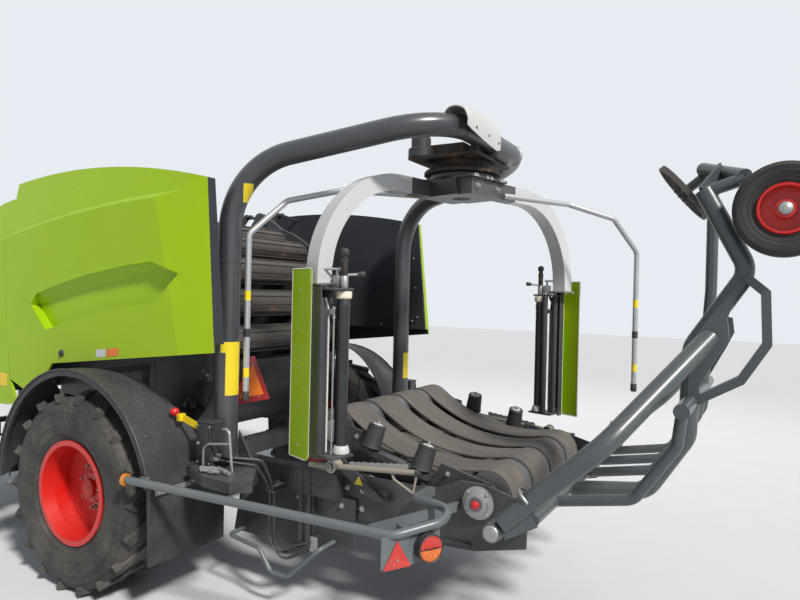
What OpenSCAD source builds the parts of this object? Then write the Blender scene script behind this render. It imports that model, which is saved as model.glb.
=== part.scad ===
// Trailed round baler with a film wrapper behind it, parked on its stand.
// Millimetres, +X forward in travel, +Y to the left, +Z up, standing on Z = 0.
// Every place is measured from the ground under the axle, and from_axle()
// moves the machine so that the middle of its length is at X = 0.

/* [Whole machine] */
// How far the axle stands in front of the middle of the length
axle_x = 270; // [200:5:350]
// Running clearance of a pin in its bore, on the radius
pin_gap = 0.3; // [0.1:0.1:1]
// Gap between pieces that only rest on each other
seat_gap = 0.3; // [0.1:0.1:1]

/* [Road wheels] */
// Radius of the tyre over its lugs
tyre_r = 585; // [560:5:620]
// Width of the tyre
tyre_w = 500; // [440:10:520]
// Height of the tread lugs
lug_h = 26; // [15:1:35]
// Number of lugs on each side of the tread
lug_count = 18; // [12:1:22]
// Thickness of a lug along the tread
lug_t = 52; // [35:1:70]
// Half width over the fenders
fender_y = 1400; // [1385:5:1410]
// Distance between the two wheels' centre planes
track = 2300; // [2260:10:2360]
// Radius of the rim's flange
rim_r = 305; // [295:5:315]
// Depth of the rim's dish in front of its disc
dish = 170; // [120:10:190]
// Radius of the wheel hub
hub_r = 88; // [70:2:100]
// Radius of the stub axle inside the hub
stub_r = 45; // [35:1:55]
// Side of the square axle beam
axle_side = 120; // [100:5:130]

/* [Chassis] */
// Outer width over the two long rails
rail_outer_w = 1600; // [1560:10:1640]
// Width of a rail
rail_w = 90; // [70:5:100]
// Height of a rail
rail_h = 140; // [120:5:150]
// Underside of the rails
rail_z = 660; // [650:5:680]
// Front end of the rails
rail_front_x = 1380; // [1340:10:1420]
// Rear end of the rails
rail_rear_x = -1500; // [-1560:10:-1440]
// Thickness of the rear side plates
plate_t = 14; // [8:1:20]

/* [Baling chamber] */
// Chamber centre in front of the axle
chamber_x = 360; // [350:5:380]
// Height of the chamber centre
chamber_z = 1520; // [1510:5:1540]
// Radius of the bale
bale_r = 625; // [600:5:640]
// Width of the chamber between its walls
chamber_w = 1200; // [1150:10:1220]
// Thickness of a chamber wall
wall_t = 20; // [12:1:25]
// Margin of the wall outside the rollers
wall_margin = 15; // [10:1:20]
// Radius of a chamber roller over its ribs
roller_r = 98; // [80:1:100]
// Number of ribs on a chamber roller
rib_count = 10; // [8:1:12]
// Angle between neighbouring chamber rollers
roller_pitch = 20; // [19:0.5:21]
// Height of the tailgate hinge above the chamber centre
hinge_up = 900; // [890:5:930]
// Tailgate hinge in front of the chamber centre
hinge_fwd = 40; // [20:5:60]

/* [Side panels] */
// Half width over the side panels
panel_y = 1250; // [1230:5:1280]
// Thickness of a side panel
panel_t = 14; // [10:1:20]
// Seam between the side panel and the front panel
seam_x = 965; // [950:5:980]
// Rear edge of the side panel at its bottom
panel_rear_x = -990; // [-1020:10:-960]
// Height of the panel's top edge at its peak
panel_top_z = 2528; // [2510:2:2540]
// Height of the panel's lower edge at the rear
panel_bottom_z = 1436; // [1425:1:1445]
// Height of the ledge at the rear, where the panel's top leans inwards
ledge_z = 2332; // [2320:2:2345]
// Depth of the scoop in the panel
scoop_depth = 60; // [45:1:70]
// Inner face of the sheet that lines the panel
liner_y = 1144; // [1135:1:1155]
// Front end of the front panels
front_panel_x = 1640; // [1600:10:1700]

/* [Wrapping arch] */
// Place of the arch legs behind the axle
leg_x = -850; // [-870:5:-830]
// Half distance between the arch legs
leg_y = 980; // [970:5:1000]
// How far the outrigger reaches in front of an arch leg
outrigger_fwd = 109.7; // [100:0.1:109.7]
// Foot of the arch legs
leg_z = 830; // [820:5:850]
// Radius of the arch tube
arch_r = 64; // [55:1:70]
// Height of the tube's axis over the legs
arch_knee_z = 2490; // [2450:10:2520]
// Height of the tube's axis round the head
arch_top_z = 2725; // [2700:5:2740]
// Rear run of the arch tube behind the axle
arch_rear_x = -2010; // [-2040:10:-1990]
// Half width of the arch where it turns at the rear
arch_rear_y = 620; // [560:10:660]
// Bending radius of the arch tube on its axis
arch_bend = 430; // [380:10:460]

/* [Wrapping rotor] */
// Axis of the rotor behind the axle
rotor_x = -1830; // [-1850:5:-1820]
// Angle of the left arm from straight ahead at rest
rotor_rest = 76.4; // [70:0.2:90]
// Radius from the rotor axis to a film reel
reel_at = 948; // [930:2:960]
// Radius of an empty film reel
reel_r = 44; // [38:1:50]
// Radius of a stretch roller
stretch_r = 23; // [18:1:24]
// Length of a film reel
reel_len = 770; // [750:5:780]
// Underside of a film reel
reel_z = 985; // [980:1:1000]
// Underside of the slewing ring's fixed plate
ring_z = 2530; // [2520:2:2540]
// Radius of the slewing ring's fixed plate
ring_r = 235; // [220:5:245]
// Radius of the pin that the rotor turns on
head_pin_r = 60; // [45:1:70]
// Side of the wrapping arm's square tube
arm_side = 96; // [80:2:110]
// Height of the wrapping arm's level run
arm_z = 2440; // [2430:2:2450]
// Bending radius of a wrapping arm on its axis
arm_bend = 560; // [520:10:580]
// Radius from the rotor axis to a safety bar
bar_at = 1284; // [1260:2:1290]
// Radius of a safety bar's tube
bar_r = 17; // [12:1:20]
// Lower end of the safety bars
bar_z = 1170; // [1160:5:1300]

/* [Wrapping table] */
// Axis of the rear table roller behind the axle
table_x = -2300; // [-2320:5:-2280]
// Height of the rear table roller's axis
table_z = 780; // [770:5:790]
// Distance between the two table rollers
table_len = 965; // [940:5:980]
// Rise of the table from its rear roller to its front roller
table_rise = 13; // [10:0.5:14]
// Radius of a table roller
drum_r = 120; // [105:1:125]
// Radius of a table roller's shaft
drum_pin_r = 34; // [28:1:40]
// Room between a table roller's end and the rear side plate
table_gap = 90; // [84:2:100]
// Number of belts
belt_count = 4; // [3:1:5]
// Width of a belt
belt_w = 245; // [180:5:250]
// Thickness of a belt
belt_t = 9; // [6:1:12]
// Angle at which the sagging belt leaves its rollers
belt_dip = 24; // [15:1:28]

/* [Bale turner] */
// Turner hinge behind the axle
turner_x = -2470; // [-2490:5:-2450]
// Height of the turner hinge
turner_z = 745; // [735:5:755]
// Half distance between the turner's side tubes
turner_y = 950; // [940:5:960]
// Radius of the turner's hinge pins
turner_pin_r = 22; // [18:1:26]
// Radius of the turner's main tube
turner_r = 46; // [40:1:50]
// Radius of the turner wheel
turner_tyre_r = 205; // [180:5:210]
// Width of the turner wheel
turner_tyre_w = 130; // [100:5:140]
// Turner wheel's axis behind the axle
turner_wheel_x = -3555; // [-3570:5:-3540]
// Height of the turner wheel's axis
turner_wheel_z = 2190; // [2170:5:2210]
// Middle of the turner wheel to the left of the machine's middle
turner_wheel_y = 400; // [380:5:420]
// Radius of the turner wheel's axle
turner_axle_r = 18; // [14:1:22]
// Radius of the tipping disc
disc_r = 178; // [160:2:190]

/* [Pick-up] */
// Pick-up hinge in front of the axle
pickup_hinge_x = 1240; // [1220:5:1260]
// Height of the pick-up hinge
pickup_hinge_z = 560; // [540:5:580]
// Radius of the pick-up's hinge pins
hinge_pin_r = 25; // [18:1:28]
// Reel axis in front of the axle
pickup_x = 1790; // [1770:5:1810]
// Height of the reel axis
pickup_z = 470; // [460:5:480]
// Radius over the tine tips
tine_tip_r = 225; // [210:5:230]
// Radius of the reel's shaft
reel_shaft_r = 20; // [15:1:25]
// Working width of the pick-up
pickup_w = 2100; // [1900:20:2100]
// Radius of a gauge wheel
gauge_r = 195; // [180:5:200]
// Gauge wheel's axis in front of the axle
gauge_x = 1620; // [1600:5:1640]
// Height of a gauge wheel's axis
gauge_z = 345; // [335:5:355]
// Radius of a gauge wheel's axle
gauge_pin_r = 15; // [12:1:20]

/* [Film cutters] */
// Pin of the left film cutter behind the axle
cutter_x = -1490; // [-1500:5:-1480]
// Height of the cutters' pins
cutter_z = 854; // [850:1:858]
// Radius of a cutter's pin
cutter_pin_r = 12; // [8:1:14]

/* [Drawbar] */
// Hitch eye in front of the axle
eye_x = 3150; // [3050:10:3200]
// Height of the hitch eye's middle
eye_z = 620; // [600:5:640]
// Radius of the hole in the hitch eye
eye_bore_r = 25; // [20:0.5:30]
// Thickness of the hitch eye
eye_t = 44; // [36:1:50]
// Radius of the shaft that the tractor drives
pto_r = 17.5; // [17:0.5:22]
// Free length of that shaft
pto_len = 80; // [70:1:100]

/* [Hidden] */
$fn = 64;
wall_fn = 192;
sleeve_t = 0.4;
rail_y = rail_outer_w / 2 - rail_w / 2;
rail_top = rail_z + rail_h;
plate_gap_w = rail_outer_w - 2 * rail_w;
drum_w = plate_gap_w - 2 * table_gap;
cutter_y = rail_outer_w / 2;
wall_y = chamber_w / 2;
roller_at = bale_r + roller_r;
wall_r = roller_at + roller_r + wall_margin;
hinge_x = chamber_x + hinge_fwd;
cover_x = 1345 - seat_gap;
sign_x = chamber_x - wall_r - 20;
hinge_z = chamber_z + hinge_up;
tyre_core_r = tyre_r - lug_h;
panel_hinge_y = panel_y - 320;
panel_hinge_z = panel_top_z - 30;
panel_hinges = [430, 820];
bead_r = rim_r - 20;
disc_at = [-3115, -35, 2370];
disc_way = unit([-76, -10, 64]);
arm_from_reel = 147;
eye_r = eye_bore_r + 48;

// Places, directions and tubes
function unit(v) = v / norm(v);
function level_side(v) = norm(cross([0, 0, 1], v)) > 0.01 * norm(v)
    ? unit(cross([0, 0, 1], v)) : [0, 1, 0];

// The outline of a flat bar that is bent along the path p and is t thick
function mitre(p, i) = let (last = len(p) - 1,
    before = i == 0 ? unit(p[1] - p[0]) : unit(p[i] - p[i - 1]),
    after = i == last ? before : unit(p[i + 1] - p[i]), mid = unit(before + after))
    [-mid.y, mid.x] / (mid * before);
function strip(p, t) = concat([for (i = [0:len(p) - 1]) p[i] + mitre(p, i) * t / 2],
    [for (i = [len(p) - 1:-1:0]) p[i] - mitre(p, i) * t / 2]);

module from_axle() {
    translate([axle_x, 0, 0]) children();
}

module both_sides() {
    children();
    mirror([0, 1, 0]) children();
}

module axes(at, x, y, z) {
    multmatrix([[x.x, y.x, z.x, at.x], [x.y, y.y, z.y, at.y], [x.z, y.z, z.z, at.z], [0, 0, 0, 1]])
        children();
}

// A round bar from a to b
module rod(a, b, r) {
    z = unit(b - a);
    x = level_side(z);
    axes(a, x, cross(z, x), z) cylinder(h = norm(b - a), r = r);
}

// A square bar from a to b, w wide and h high
module beam(a, b, w, h) {
    x = unit(b - a);
    y = level_side(x);
    axes(a, x, y, cross(x, y)) translate([0, -w / 2, -h / 2]) cube([norm(b - a), w, h]);
}

// A tube along a path of corners, bent round each of them. Its straight runs are a hair thicker
// than its bends and reach a little way over them, as a sleeve would.
module bent_tube(path, r, bend) {
    lap = 1;
    last = len(path) - 1;
    dirs = [for (i = [0:last - 1]) unit(path[i + 1] - path[i])];
    turns = [for (i = [0:last]) i == 0 || i == last ? 0 : acos(min(1, dirs[i - 1] * dirs[i]))];
    backs = [for (t = turns) bend * tan(t / 2)];
    for (i = [0:last - 1])
        rod(path[i] + dirs[i] * (backs[i] - (i == 0 ? 0 : lap)),
            path[i + 1] - dirs[i] * (backs[i + 1] - (i == last - 1 ? 0 : lap)), r + sleeve_t);
    for (i = [1:last - 1]) {
        in_dir = dirs[i - 1];
        to_centre = unit(dirs[i] - in_dir * (in_dir * dirs[i]));
        start = path[i] - in_dir * backs[i];
        axes(start + to_centre * bend, -to_centre, in_dir, cross(-to_centre, in_dir))
            rotate_extrude(angle = turns[i]) translate([bend, 0]) circle(r = r);
    }
}

// A solid whose outline is drawn in X and Z, between two places along Y
module across(y0, y1) {
    translate([0, y1, 0]) rotate([90, 0, 0]) linear_extrude(height = y1 - y0) children();
}

// A wheel drawn with its axis along Z, set on the machine's left with its outer side at +Y
module on_hub(x, y, z) {
    translate([x, y, z]) rotate([-90, 0, 0]) children();
}

// Road wheels
function sidewall(side) = [for (a = [-60:24:60])
    let (low = rim_r + 6, high = tyre_core_r - 8)
    [(low + high) / 2 + (high - low) / 2 * sin(a) / sin(60),
    side * (tyre_w / 2 - 38 + 38 * (cos(a) - 0.5) / 0.5)]];

module tyre() {
    lug_len = tyre_w * 0.52;
    lug_reach = lug_len / 2 * sin(42) + lug_t / 2 * cos(42);
    lug_top = sqrt(tyre_r * tyre_r - lug_reach * lug_reach);
    color([0.12, 0.12, 0.12]) {
        rotate_extrude() polygon(concat(
            [[bead_r + seat_gap, -tyre_w / 2 + 38], [rim_r + 2, -tyre_w / 2 + 38]], sidewall(-1),
            [[tyre_core_r, -tyre_w / 2 + 62], [tyre_core_r, tyre_w / 2 - 62]],
            [for (i = [len(sidewall(1)) - 1:-1:0]) sidewall(1)[i]],
            [[rim_r + 2, tyre_w / 2 - 38], [bead_r + seat_gap, tyre_w / 2 - 38]]));
        for (i = [0:lug_count - 1], s = [-1, 1])
            rotate([0, 0, (i + (s > 0 ? 0.5 : 0)) * 360 / lug_count])
                translate([lug_top, 0, s * (tyre_w / 2 - 24 - lug_len / 2 * cos(42))])
                    rotate([s * 42, 0, 0])
                        translate([-lug_h - 24, -lug_t / 2, -lug_len / 2])
                            cube([lug_h + 24, lug_t, lug_len]);
    }
}

module rim() {
    edge = tyre_w / 2 - 38 + seat_gap;
    disc_y = edge + 12 - dish;
    color([0.75, 0.08, 0.06]) {
        rotate_extrude() polygon([[bead_r, -edge], [rim_r, -edge], [rim_r, -edge - 12], [bead_r - 10,
            -edge - 12],
            [bead_r - 24, -edge + 60], [bead_r - 24, disc_y - 14], [hub_r - 2, disc_y - 14 - 40],
            [hub_r - 2, disc_y - 40], [bead_r - 24, disc_y], [bead_r - 24, edge - 60],
            [bead_r - 10, edge + 12], [rim_r, edge + 12], [rim_r, edge], [bead_r, edge],
            [bead_r - 14, edge - 60], [bead_r - 14, -edge + 60]]);
        difference() {
            translate([0, 0, disc_y - 130]) cylinder(h = 160, r = hub_r);
            translate([0, 0, disc_y - 131]) cylinder(h = 121, r = stub_r + pin_gap);
        }
        translate([0, 0, disc_y + 30]) cylinder(h = 26, r = hub_r * 0.62);
    }
}

module left_tyre() { on_hub(0, track / 2, tyre_r) tyre(); }
module right_tyre() { mirror([0, 1, 0]) left_tyre(); }
module left_rim() { on_hub(0, track / 2, tyre_r) rim(); }
module right_rim() { mirror([0, 1, 0]) left_rim(); }

// Chassis
module axle() {
    edge = tyre_w / 2 - 38 + seat_gap;
    stub_end = track / 2 + edge + 12 - dish - 10 - seat_gap;
    shoulder = track / 2 + edge + 12 - dish - 130 - seat_gap;
    color([0.2, 0.21, 0.23]) {
        translate([-axle_side / 2, -rail_outer_w / 2, tyre_r - axle_side / 2])
            cube([axle_side, rail_outer_w, axle_side]);
        both_sides() {
            rod([0, rail_outer_w / 2, tyre_r], [0, shoulder, tyre_r], hub_r * 0.8);
            rod([0, shoulder, tyre_r], [0, stub_end, tyre_r], stub_r);
        }
    }
}

module main_frame() {
    axle_top = tyre_r + axle_side / 2;
    front_x = leg_x + outrigger_fwd;
    color([0.2, 0.21, 0.23]) {
        both_sides() {
            translate([rail_rear_x, rail_y - rail_w / 2, rail_z])
                cube([rail_front_x - rail_rear_x, rail_w, rail_h]);
            translate([-130, rail_y - rail_w / 2, axle_top])
                cube([260, rail_w, rail_z - axle_top]);
            // Bracket between the rail and the chamber wall
            for (x = [640, 1040])
                translate([x, wall_y + wall_t, rail_z + 20])
                    cube([140, rail_y - rail_w / 2 - wall_y - wall_t + 5, rail_h - 40]);
            // Outrigger that carries the arch leg
            translate([front_x - 210, rail_outer_w / 2 - 5, rail_z])
                cube([210, leg_y + 175 - rail_outer_w / 2, leg_z - rail_z]);
            rear_plate();
            // Deep folded plate under the rail
            across(rail_y - 20, rail_y - 8) polygon([[-1585, 400], [-1585, rail_z + 4], [-760,
                rail_z + 4], [-700, 330],
                [-1200, 330]]);
            for (x = [-1262, -1318]) translate([x, rail_y - 12, 350]) cube([14, 18, rail_z - 346]);
            // Arm and pin of the pick-up hinge
            translate([pickup_hinge_x - 40, rail_y - rail_w / 2, pickup_hinge_z - 45])
                cube([80, rail_w, rail_z - pickup_hinge_z + 50]);
            rod([pickup_hinge_x, rail_y, pickup_hinge_z], [pickup_hinge_x, pickup_w / 2 + 30,
                pickup_hinge_z],
                hinge_pin_r);
        }
        // Brackets and pins of the film cutters, which face each other across the rotor's axis
        for (turn = [0, 180]) translate([rotor_x, 0, 0]) rotate([0, 0,
            turn]) translate([cutter_x - rotor_x, 0, 0]) {
            foot_x = turn == 0 ? -300 : -30;
            foot_z = turn == 0 ? 690 : 772;
            translate([foot_x, plate_gap_w / 2 + plate_t - 5, foot_z + 8])
                cube([60, cutter_y - 43 - plate_gap_w / 2 - plate_t, 50]);
            across(cutter_y - 53, cutter_y - 33) polygon([[foot_x - 10, foot_z], [foot_x + 70, foot_z],
                [26, cutter_z - 26], [26, cutter_z + 28], [-10, cutter_z + 34]]);
            rod([0, cutter_y - 40, cutter_z], [0, cutter_y + 62, cutter_z], cutter_pin_r);
        }
        translate([rail_front_x - 120, -rail_outer_w / 2 + rail_w - 5, rail_z])
            cube([120, rail_outer_w - 2 * rail_w + 10, rail_h]);
        translate([rail_rear_x - 60, -plate_gap_w / 2 - 5, 480])
            cube([120, plate_gap_w + 10, 110]);
        rod([table_x - 40, -plate_gap_w / 2 - 5, 600], [table_x - 40, plate_gap_w / 2 + 5, 600], 36);
    }
}

module rear_plate() {
    y0 = plate_gap_w / 2;
    difference() {
        across(y0, y0 + plate_t) polygon([[rail_rear_x + 200, 480], [-2280, 535], [-2540, 600], [-2545,
            730],
            [-2480, 830], [-2330, 868], [-2190, 868], [-2040, 800], [rail_rear_x + 60, 800],
            [rail_rear_x + 200, rail_z]]);
        rod([table_x, y0 - 1, table_z], [table_x, y0 + plate_t + 1, table_z], drum_pin_r + pin_gap);
    }
    // Flanged bearing of the rear drum
    difference() {
        union() {
            rod([table_x, y0 + plate_t - 2, table_z], [table_x, y0 + plate_t + 14, table_z], 82);
            rod([table_x, y0 + plate_t - 2, table_z], [table_x, y0 + plate_t + 44, table_z], 54);
        }
        rod([table_x, y0, table_z], [table_x, y0 + plate_t + 60, table_z], drum_pin_r + pin_gap);
    }
    // Pin of the turner hinge
    rod([turner_x, y0 + plate_t - 4, turner_z], [turner_x, turner_y + 60, turner_z], turner_pin_r);
}

module drawbar() {
    root_z = 900;
    neck_x = 2700;
    stand_x = 2350;
    color([0.2, 0.21, 0.23]) {
        difference() {
            union() {
                both_sides() {
                    beam([rail_front_x, 470, root_z], [neck_x, 70, eye_z + 60], 90, 150);
                    translate([rail_front_x - 60, 400, rail_top]) cube([60, 150, root_z + 90 - rail_top]);
                }
                beam([rail_front_x + 60, 0, 860], [neck_x + 60, 0, eye_z + 55], 140, 110);
                translate([rail_front_x, -470, root_z - 70]) cube([90, 940, 140]);
                translate([neck_x - 60, -115, eye_z - 25]) cube([150, 230, 160]);
                beam([neck_x, 0, eye_z], [eye_x - eye_bore_r - 16, 0, eye_z], 90, eye_t);
                translate([eye_x, 0, eye_z - eye_t / 2]) cylinder(h = eye_t, r = eye_r);
            }
            translate([eye_x, 0, eye_z - 60]) cylinder(h = 120, r = eye_bore_r);
        }
        // Socket of the parking stand
        difference() {
            union() {
                translate([stand_x, 330, 470]) cylinder(h = 460, r = 44);
                translate([stand_x - 40, 150, 650]) cube([80, 160, 110]);
            }
            translate([stand_x, 330, 400]) cylinder(h = 600, r = 34 + pin_gap);
        }
    }
}

module stand_leg() {
    color([0.35, 0.36, 0.38]) {
        translate([2350, 330, 10]) cylinder(h = 860, r = 34);
        translate([2250, 230, 0]) cube([200, 200, 14]);
    }
}

// Baling chamber
function round_chamber(a) = [chamber_x + roller_at * cos(a), 0, chamber_z + roller_at * sin(a)];

module chamber_roller(angle) {
    at = round_chamber(angle);
    reach = wall_y - seat_gap;
    translate([at.x, reach, at.z]) rotate([90, 0, 0]) {
        cylinder(h = 2 * reach, r = roller_r - 9);
        for (i = [0:rib_count - 1])
            rotate([0, 0, i * 360 / rib_count])
                translate([roller_r - 14, -7, 10]) cube([13.5, 14, 2 * reach - 20]);
    }
}

module split_side(front) {
    top = [-62, wall_r + 10];
    low = [-185, -wall_r - 10];
    gap = 3;
    s = front ? 1 : -1;
    polygon([[top.x + s * gap, top.y], [low.x + s * gap, low.y], [s * 2 * wall_r, low.y],
        [s * 2 * wall_r, top.y]]);
}

module chamber_walls() {
    color([0.24, 0.25, 0.27]) both_sides() {
        across(wall_y, wall_y + wall_t) {
            translate([chamber_x, chamber_z]) intersection() {
                circle(r = wall_r, $fn = wall_fn);
                split_side(true);
            }
            polygon([[560, rail_z], [1250, rail_z], [1250, rail_top], [cover_x, 1100], [cover_x, 1900],
                [1100, 2100], [620, 1900]]);
        }
        // Ear and pin of the tailgate hinge
        across(wall_y, wall_y + wall_t) translate([hinge_x, hinge_z]) {
            circle(r = 60);
            polygon([[-40, 0], [60, 0], [260, -260], [20, -300]]);
        }
        rod([hinge_x, wall_y + wall_t - 5, hinge_z], [hinge_x, wall_y + wall_t + 70, hinge_z], 26);
        // Arms and pins that carry the side panel
        for (x = panel_hinges) {
            beam([x + 50, wall_y + 24, x < 600 ? 2250 : 2100], [x + 50, panel_hinge_y, panel_hinge_z],
                20, 60);
            rod([x + 40, panel_hinge_y, panel_hinge_z], [x + 60, panel_hinge_y, panel_hinge_z], 28);
            rod([x - 20, panel_hinge_y, panel_hinge_z], [x + 50, panel_hinge_y, panel_hinge_z], 10);
        }
    }
    color([0.24, 0.25, 0.27]) {
        rod([1235, -wall_y, 1960], [1235, wall_y, 1960], 40);
        rod([1270, -wall_y, 1250], [1270, wall_y, 1250], 40);
    }
}

module front_rollers() {
    color([0.33, 0.3, 0.27])
        for (i = [0, 1, 2, 3, 4, 5, 7, 8, 9]) chamber_roller(85 - i * roller_pitch);
}

module front_cover() {
    front_x = 1560;
    color([0.16, 0.17, 0.18]) across(-1040, 1040) difference() {
        union() {
            polygon([[1345, 1010], [front_x - 60, 1010], [front_x, 1180], [front_x, 1820],
                [1345, 1820]]);
            intersection() {
                translate([1300, 1820]) circle(r = front_x - 1300);
                translate([1345, 1820]) square([300, 300]);
            }
        }
    }
}

module gearbox() {
    color([0.3, 0.31, 0.33]) {
        translate([1700, -150, 905]) cube([240, 300, 245]);
        rod([1940, 0, 1000], [1970, 0, 1000], 70);
        rod([1970, 0, 1000], [1970 + pto_len, 0, 1000], pto_r);
        rod([1800, 140, 1020], [1800, 1000, 1020], 45);
        translate([1560 + seat_gap, 700, 1180]) cube([60, 40, 60]);
        beam([1600, 720, 1205], [1800, 720, 1020], 34, 60);
    }
}

// Panels
function seam_line(gap) = [[seam_x - 90 + gap, 1168], [seam_x - 18 + gap, 1747], [seam_x + gap, 2156],
    [seam_x - 10 + gap, 2474]];

// The outer shape of the panels: flat, leaning inwards over a curved ledge, and turned in at the rear
module panel_form() {
    ledge_r = 8800;
    difference() {
        translate([-900, 0, ledge_z - ledge_r]) rotate([-90, 0, 0]) rotate([0, 0,
            -107]) rotate_extrude(angle = 34)
            polygon([[ledge_r - 1500, 1000], [ledge_r - 1500, panel_y], [ledge_r - 26, panel_y],
                [ledge_r + 2, panel_y - 28], [ledge_r + 500, panel_y - 108], [ledge_r + 500, 1000]]);
        translate([-640, panel_y, 1900]) rotate([0, 14, 0]) rotate([0, 0, 8]) translate([-900, 0, -1500])
            cube([900, 300, 3000]);
    }
}

module panel_shell() {
    difference() {
        panel_form();
        translate([0, -panel_t, 0]) panel_form();
    }
}

module under_arc(x, top, r) {
    difference() {
        children();
        difference() {
            translate([-1600, top - 700]) square([3600, 1500]);
            translate([x, top - r]) circle(r = r, $fn = 240);
        }
    }
}

module left_side_panel() {
    scoop = [[649, 1667], [590, 1739], [330, 1808], [60, 1866], [-303, 1920], [-527, 1940], [-731,
        1874], [-561, 1712],
        [-349, 1688], [-154, 1663], [159, 1594], [475, 1513]];
    floor_y = panel_y - scoop_depth;
    rear = [[panel_rear_x, panel_bottom_z + 22], [panel_rear_x + 95, 2400]];
    color([0.55, 0.72, 0.05]) {
        difference() {
            union() {
                intersection() {
                    panel_shell();
                    across(1000, panel_y + 10) under_arc(280, panel_top_z, 5200)
                        polygon(concat(seam_line(0), [[seam_x - 10, 2800], [rear[1].x, 2800], rear[1],
                            rear[0],
                            [-787, panel_bottom_z], [398, panel_bottom_z - 131], [477, 1216], [668,
                                1101]]));
                }
                // Back of the scoop
                across(floor_y - 8, panel_y - panel_t + 1) translate([-90,
                    1740]) scale(1.05) translate([90, -1740])
                    polygon(scoop);
            }
            difference() {
                across(floor_y, panel_y + 20) polygon(scoop);
                translate([60, panel_y, 1874]) rotate([0, 11.5, 0]) rotate([54, 0, 0]) translate([-1500,
                    -500, 0])
                    cube([3000, 1000, 300]);
            }
        }
        // Sheet that lines the panel, and the strip that closes its rear edge
        across(liner_y, liner_y + 6) under_arc(280, panel_top_z - 4, 5200)
            polygon([[seam_x - 30, 1500], [seam_x - 30, 2800], [rear[1].x, 2800], rear[1], rear[0] + [4,
                42]]);
        intersection() {
            panel_form();
            across(liner_y, panel_y) under_arc(280, panel_top_z, 5200) polygon([rear[0] + [4, 42], rear[1],
                [rear[1].x, 2800], [rear[1].x + 12, 2800], rear[1] + [12, 0], rear[0] + [16, 42]]);
        }
        // Hinge straps under the upper edge
        for (x = panel_hinges) difference() {
            union() {
                beam([x, panel_hinge_y, panel_hinge_z], [x, liner_y + 26, panel_hinge_z - 22], 24, 22);
                rod([x - 15, panel_hinge_y, panel_hinge_z], [x + 15, panel_hinge_y, panel_hinge_z], 22);
            }
            rod([x - 20, panel_hinge_y, panel_hinge_z], [x + 20, panel_hinge_y, panel_hinge_z],
                10 + pin_gap);
        }
    }
}

module right_side_panel() { mirror([0, 1, 0]) left_side_panel(); }

module front_panels() {
    color([0.55, 0.72, 0.05]) both_sides() {
        intersection() {
            panel_shell();
            across(1000, panel_y + 10) under_arc(820, 2390, 1290)
                polygon(concat([[seam_x + 4, 2800]], [for (i = [3:-1:0]) seam_line(6)[i]],
                    [[seam_x - 195, 1005], [1380, 960],
                    [front_panel_x, 1150], [front_panel_x, 1900], [front_panel_x - 60, 2800]]));
        }
        // Stays that hold the panel to the front cover
        translate([1400, 1040, 1300]) cube([60, panel_y - panel_t + 2 - 1040, 40]);
        translate([1400, 1040, 1800]) cube([60, panel_y - panel_t + 2 - 1040, 40]);
    }
}

module fenders() {
    r = 715;
    t = 10;
    y0 = track / 2 - tyre_w / 2 - 25;
    y1 = fender_y;
    rear_x = leg_x + outrigger_fwd + seat_gap;
    cz = tyre_r;
    color([0.14, 0.15, 0.16]) both_sides() {
        intersection() {
            translate([-15, y1, cz]) rotate([90, 0, 0])
                rotate_extrude(angle = 168) polygon([[r, 0], [r + t, 0], [r + t, y1 - y0], [r, y1 - y0]]);
            // The inner edge runs obliquely, narrow over the wheel and wide behind it
            linear_extrude(height = 2000) polygon([[900, y0], [760, y0], [330, 1290], [60, 1310], [-720,
                y0 + 105],
                [-900, y0 + 105], [-900, y1 + 50], [900, y1 + 50]]);
        }
        translate([-15, y1, cz]) rotate([90, 0, 0])
            rotate_extrude(angle = 168) polygon([[r - 28, 0], [r + t - 1, 0], [r + t - 1, 22], [r - 28,
                22]]);
        // Rubber flap
        across(y0, y1 - 2) polygon([[rear_x, 330], [rear_x + 12, 330], [rear_x + 34, 738], [rear_x, 738]]);
        // Stay between the rail and the fender
        translate([-40, rail_outer_w / 2 + seat_gap, 720]) cube([60, y0 - rail_outer_w / 2 - seat_gap, 40]);
        translate([-39, y0 - 14, 720]) cube([58, 14, r + cz - 720]);
        translate([-40, y0 - 14, cz + r - 36]) cube([60, y1 - y0 + 4, 38]);
    }
}

// Guard rails, lamps and plates
guard_path = [[-620, 1452, 785], [-2110, 1235, 735], [-2340, 965, 795], [-2030, 872, 792]];

module on_lamp_plate() {
    translate([-2160, 1150, 665]) rotate([0, 0, -30]) children();
}

module guard_rails() {
    color([0.3, 0.33, 0.36]) both_sides() {
        bent_tube(guard_path, 21, 110);
        translate([-735, fender_y + seat_gap, 765]) cube([45, 30, 40]);
        translate([-2060, plate_gap_w / 2 + plate_t + seat_gap, 772])
            cube([44, 872 - plate_gap_w / 2 - plate_t, 40]);
        // Flat bar inside the loop, and the plate that carries the lamp and the reflector
        beam([-1978, 1220, 728], [-2190, plate_gap_w / 2 + plate_t + seat_gap + 8, 742], 10, 50);
        on_lamp_plate() {
            translate([0, -150, -72]) cube([8, 300, 144]);
            translate([6, -40, 30]) cube([190, 40, 36]);
        }
    }
    // Bent tube that guards the hoses under the left rail
    out = rail_outer_w / 2 + 80;
    color([0.3, 0.33, 0.36]) bent_tube([[-780, rail_y - 8, 352], [-780, out - 10, 352],
        [-1030, out + 5, 330], [-1120, out + 5, 215], [-1240, out + 5, 215], [-1450, out, 410],
        [-1450, rail_y - 8, 410]], 12, 36);
}

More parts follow.
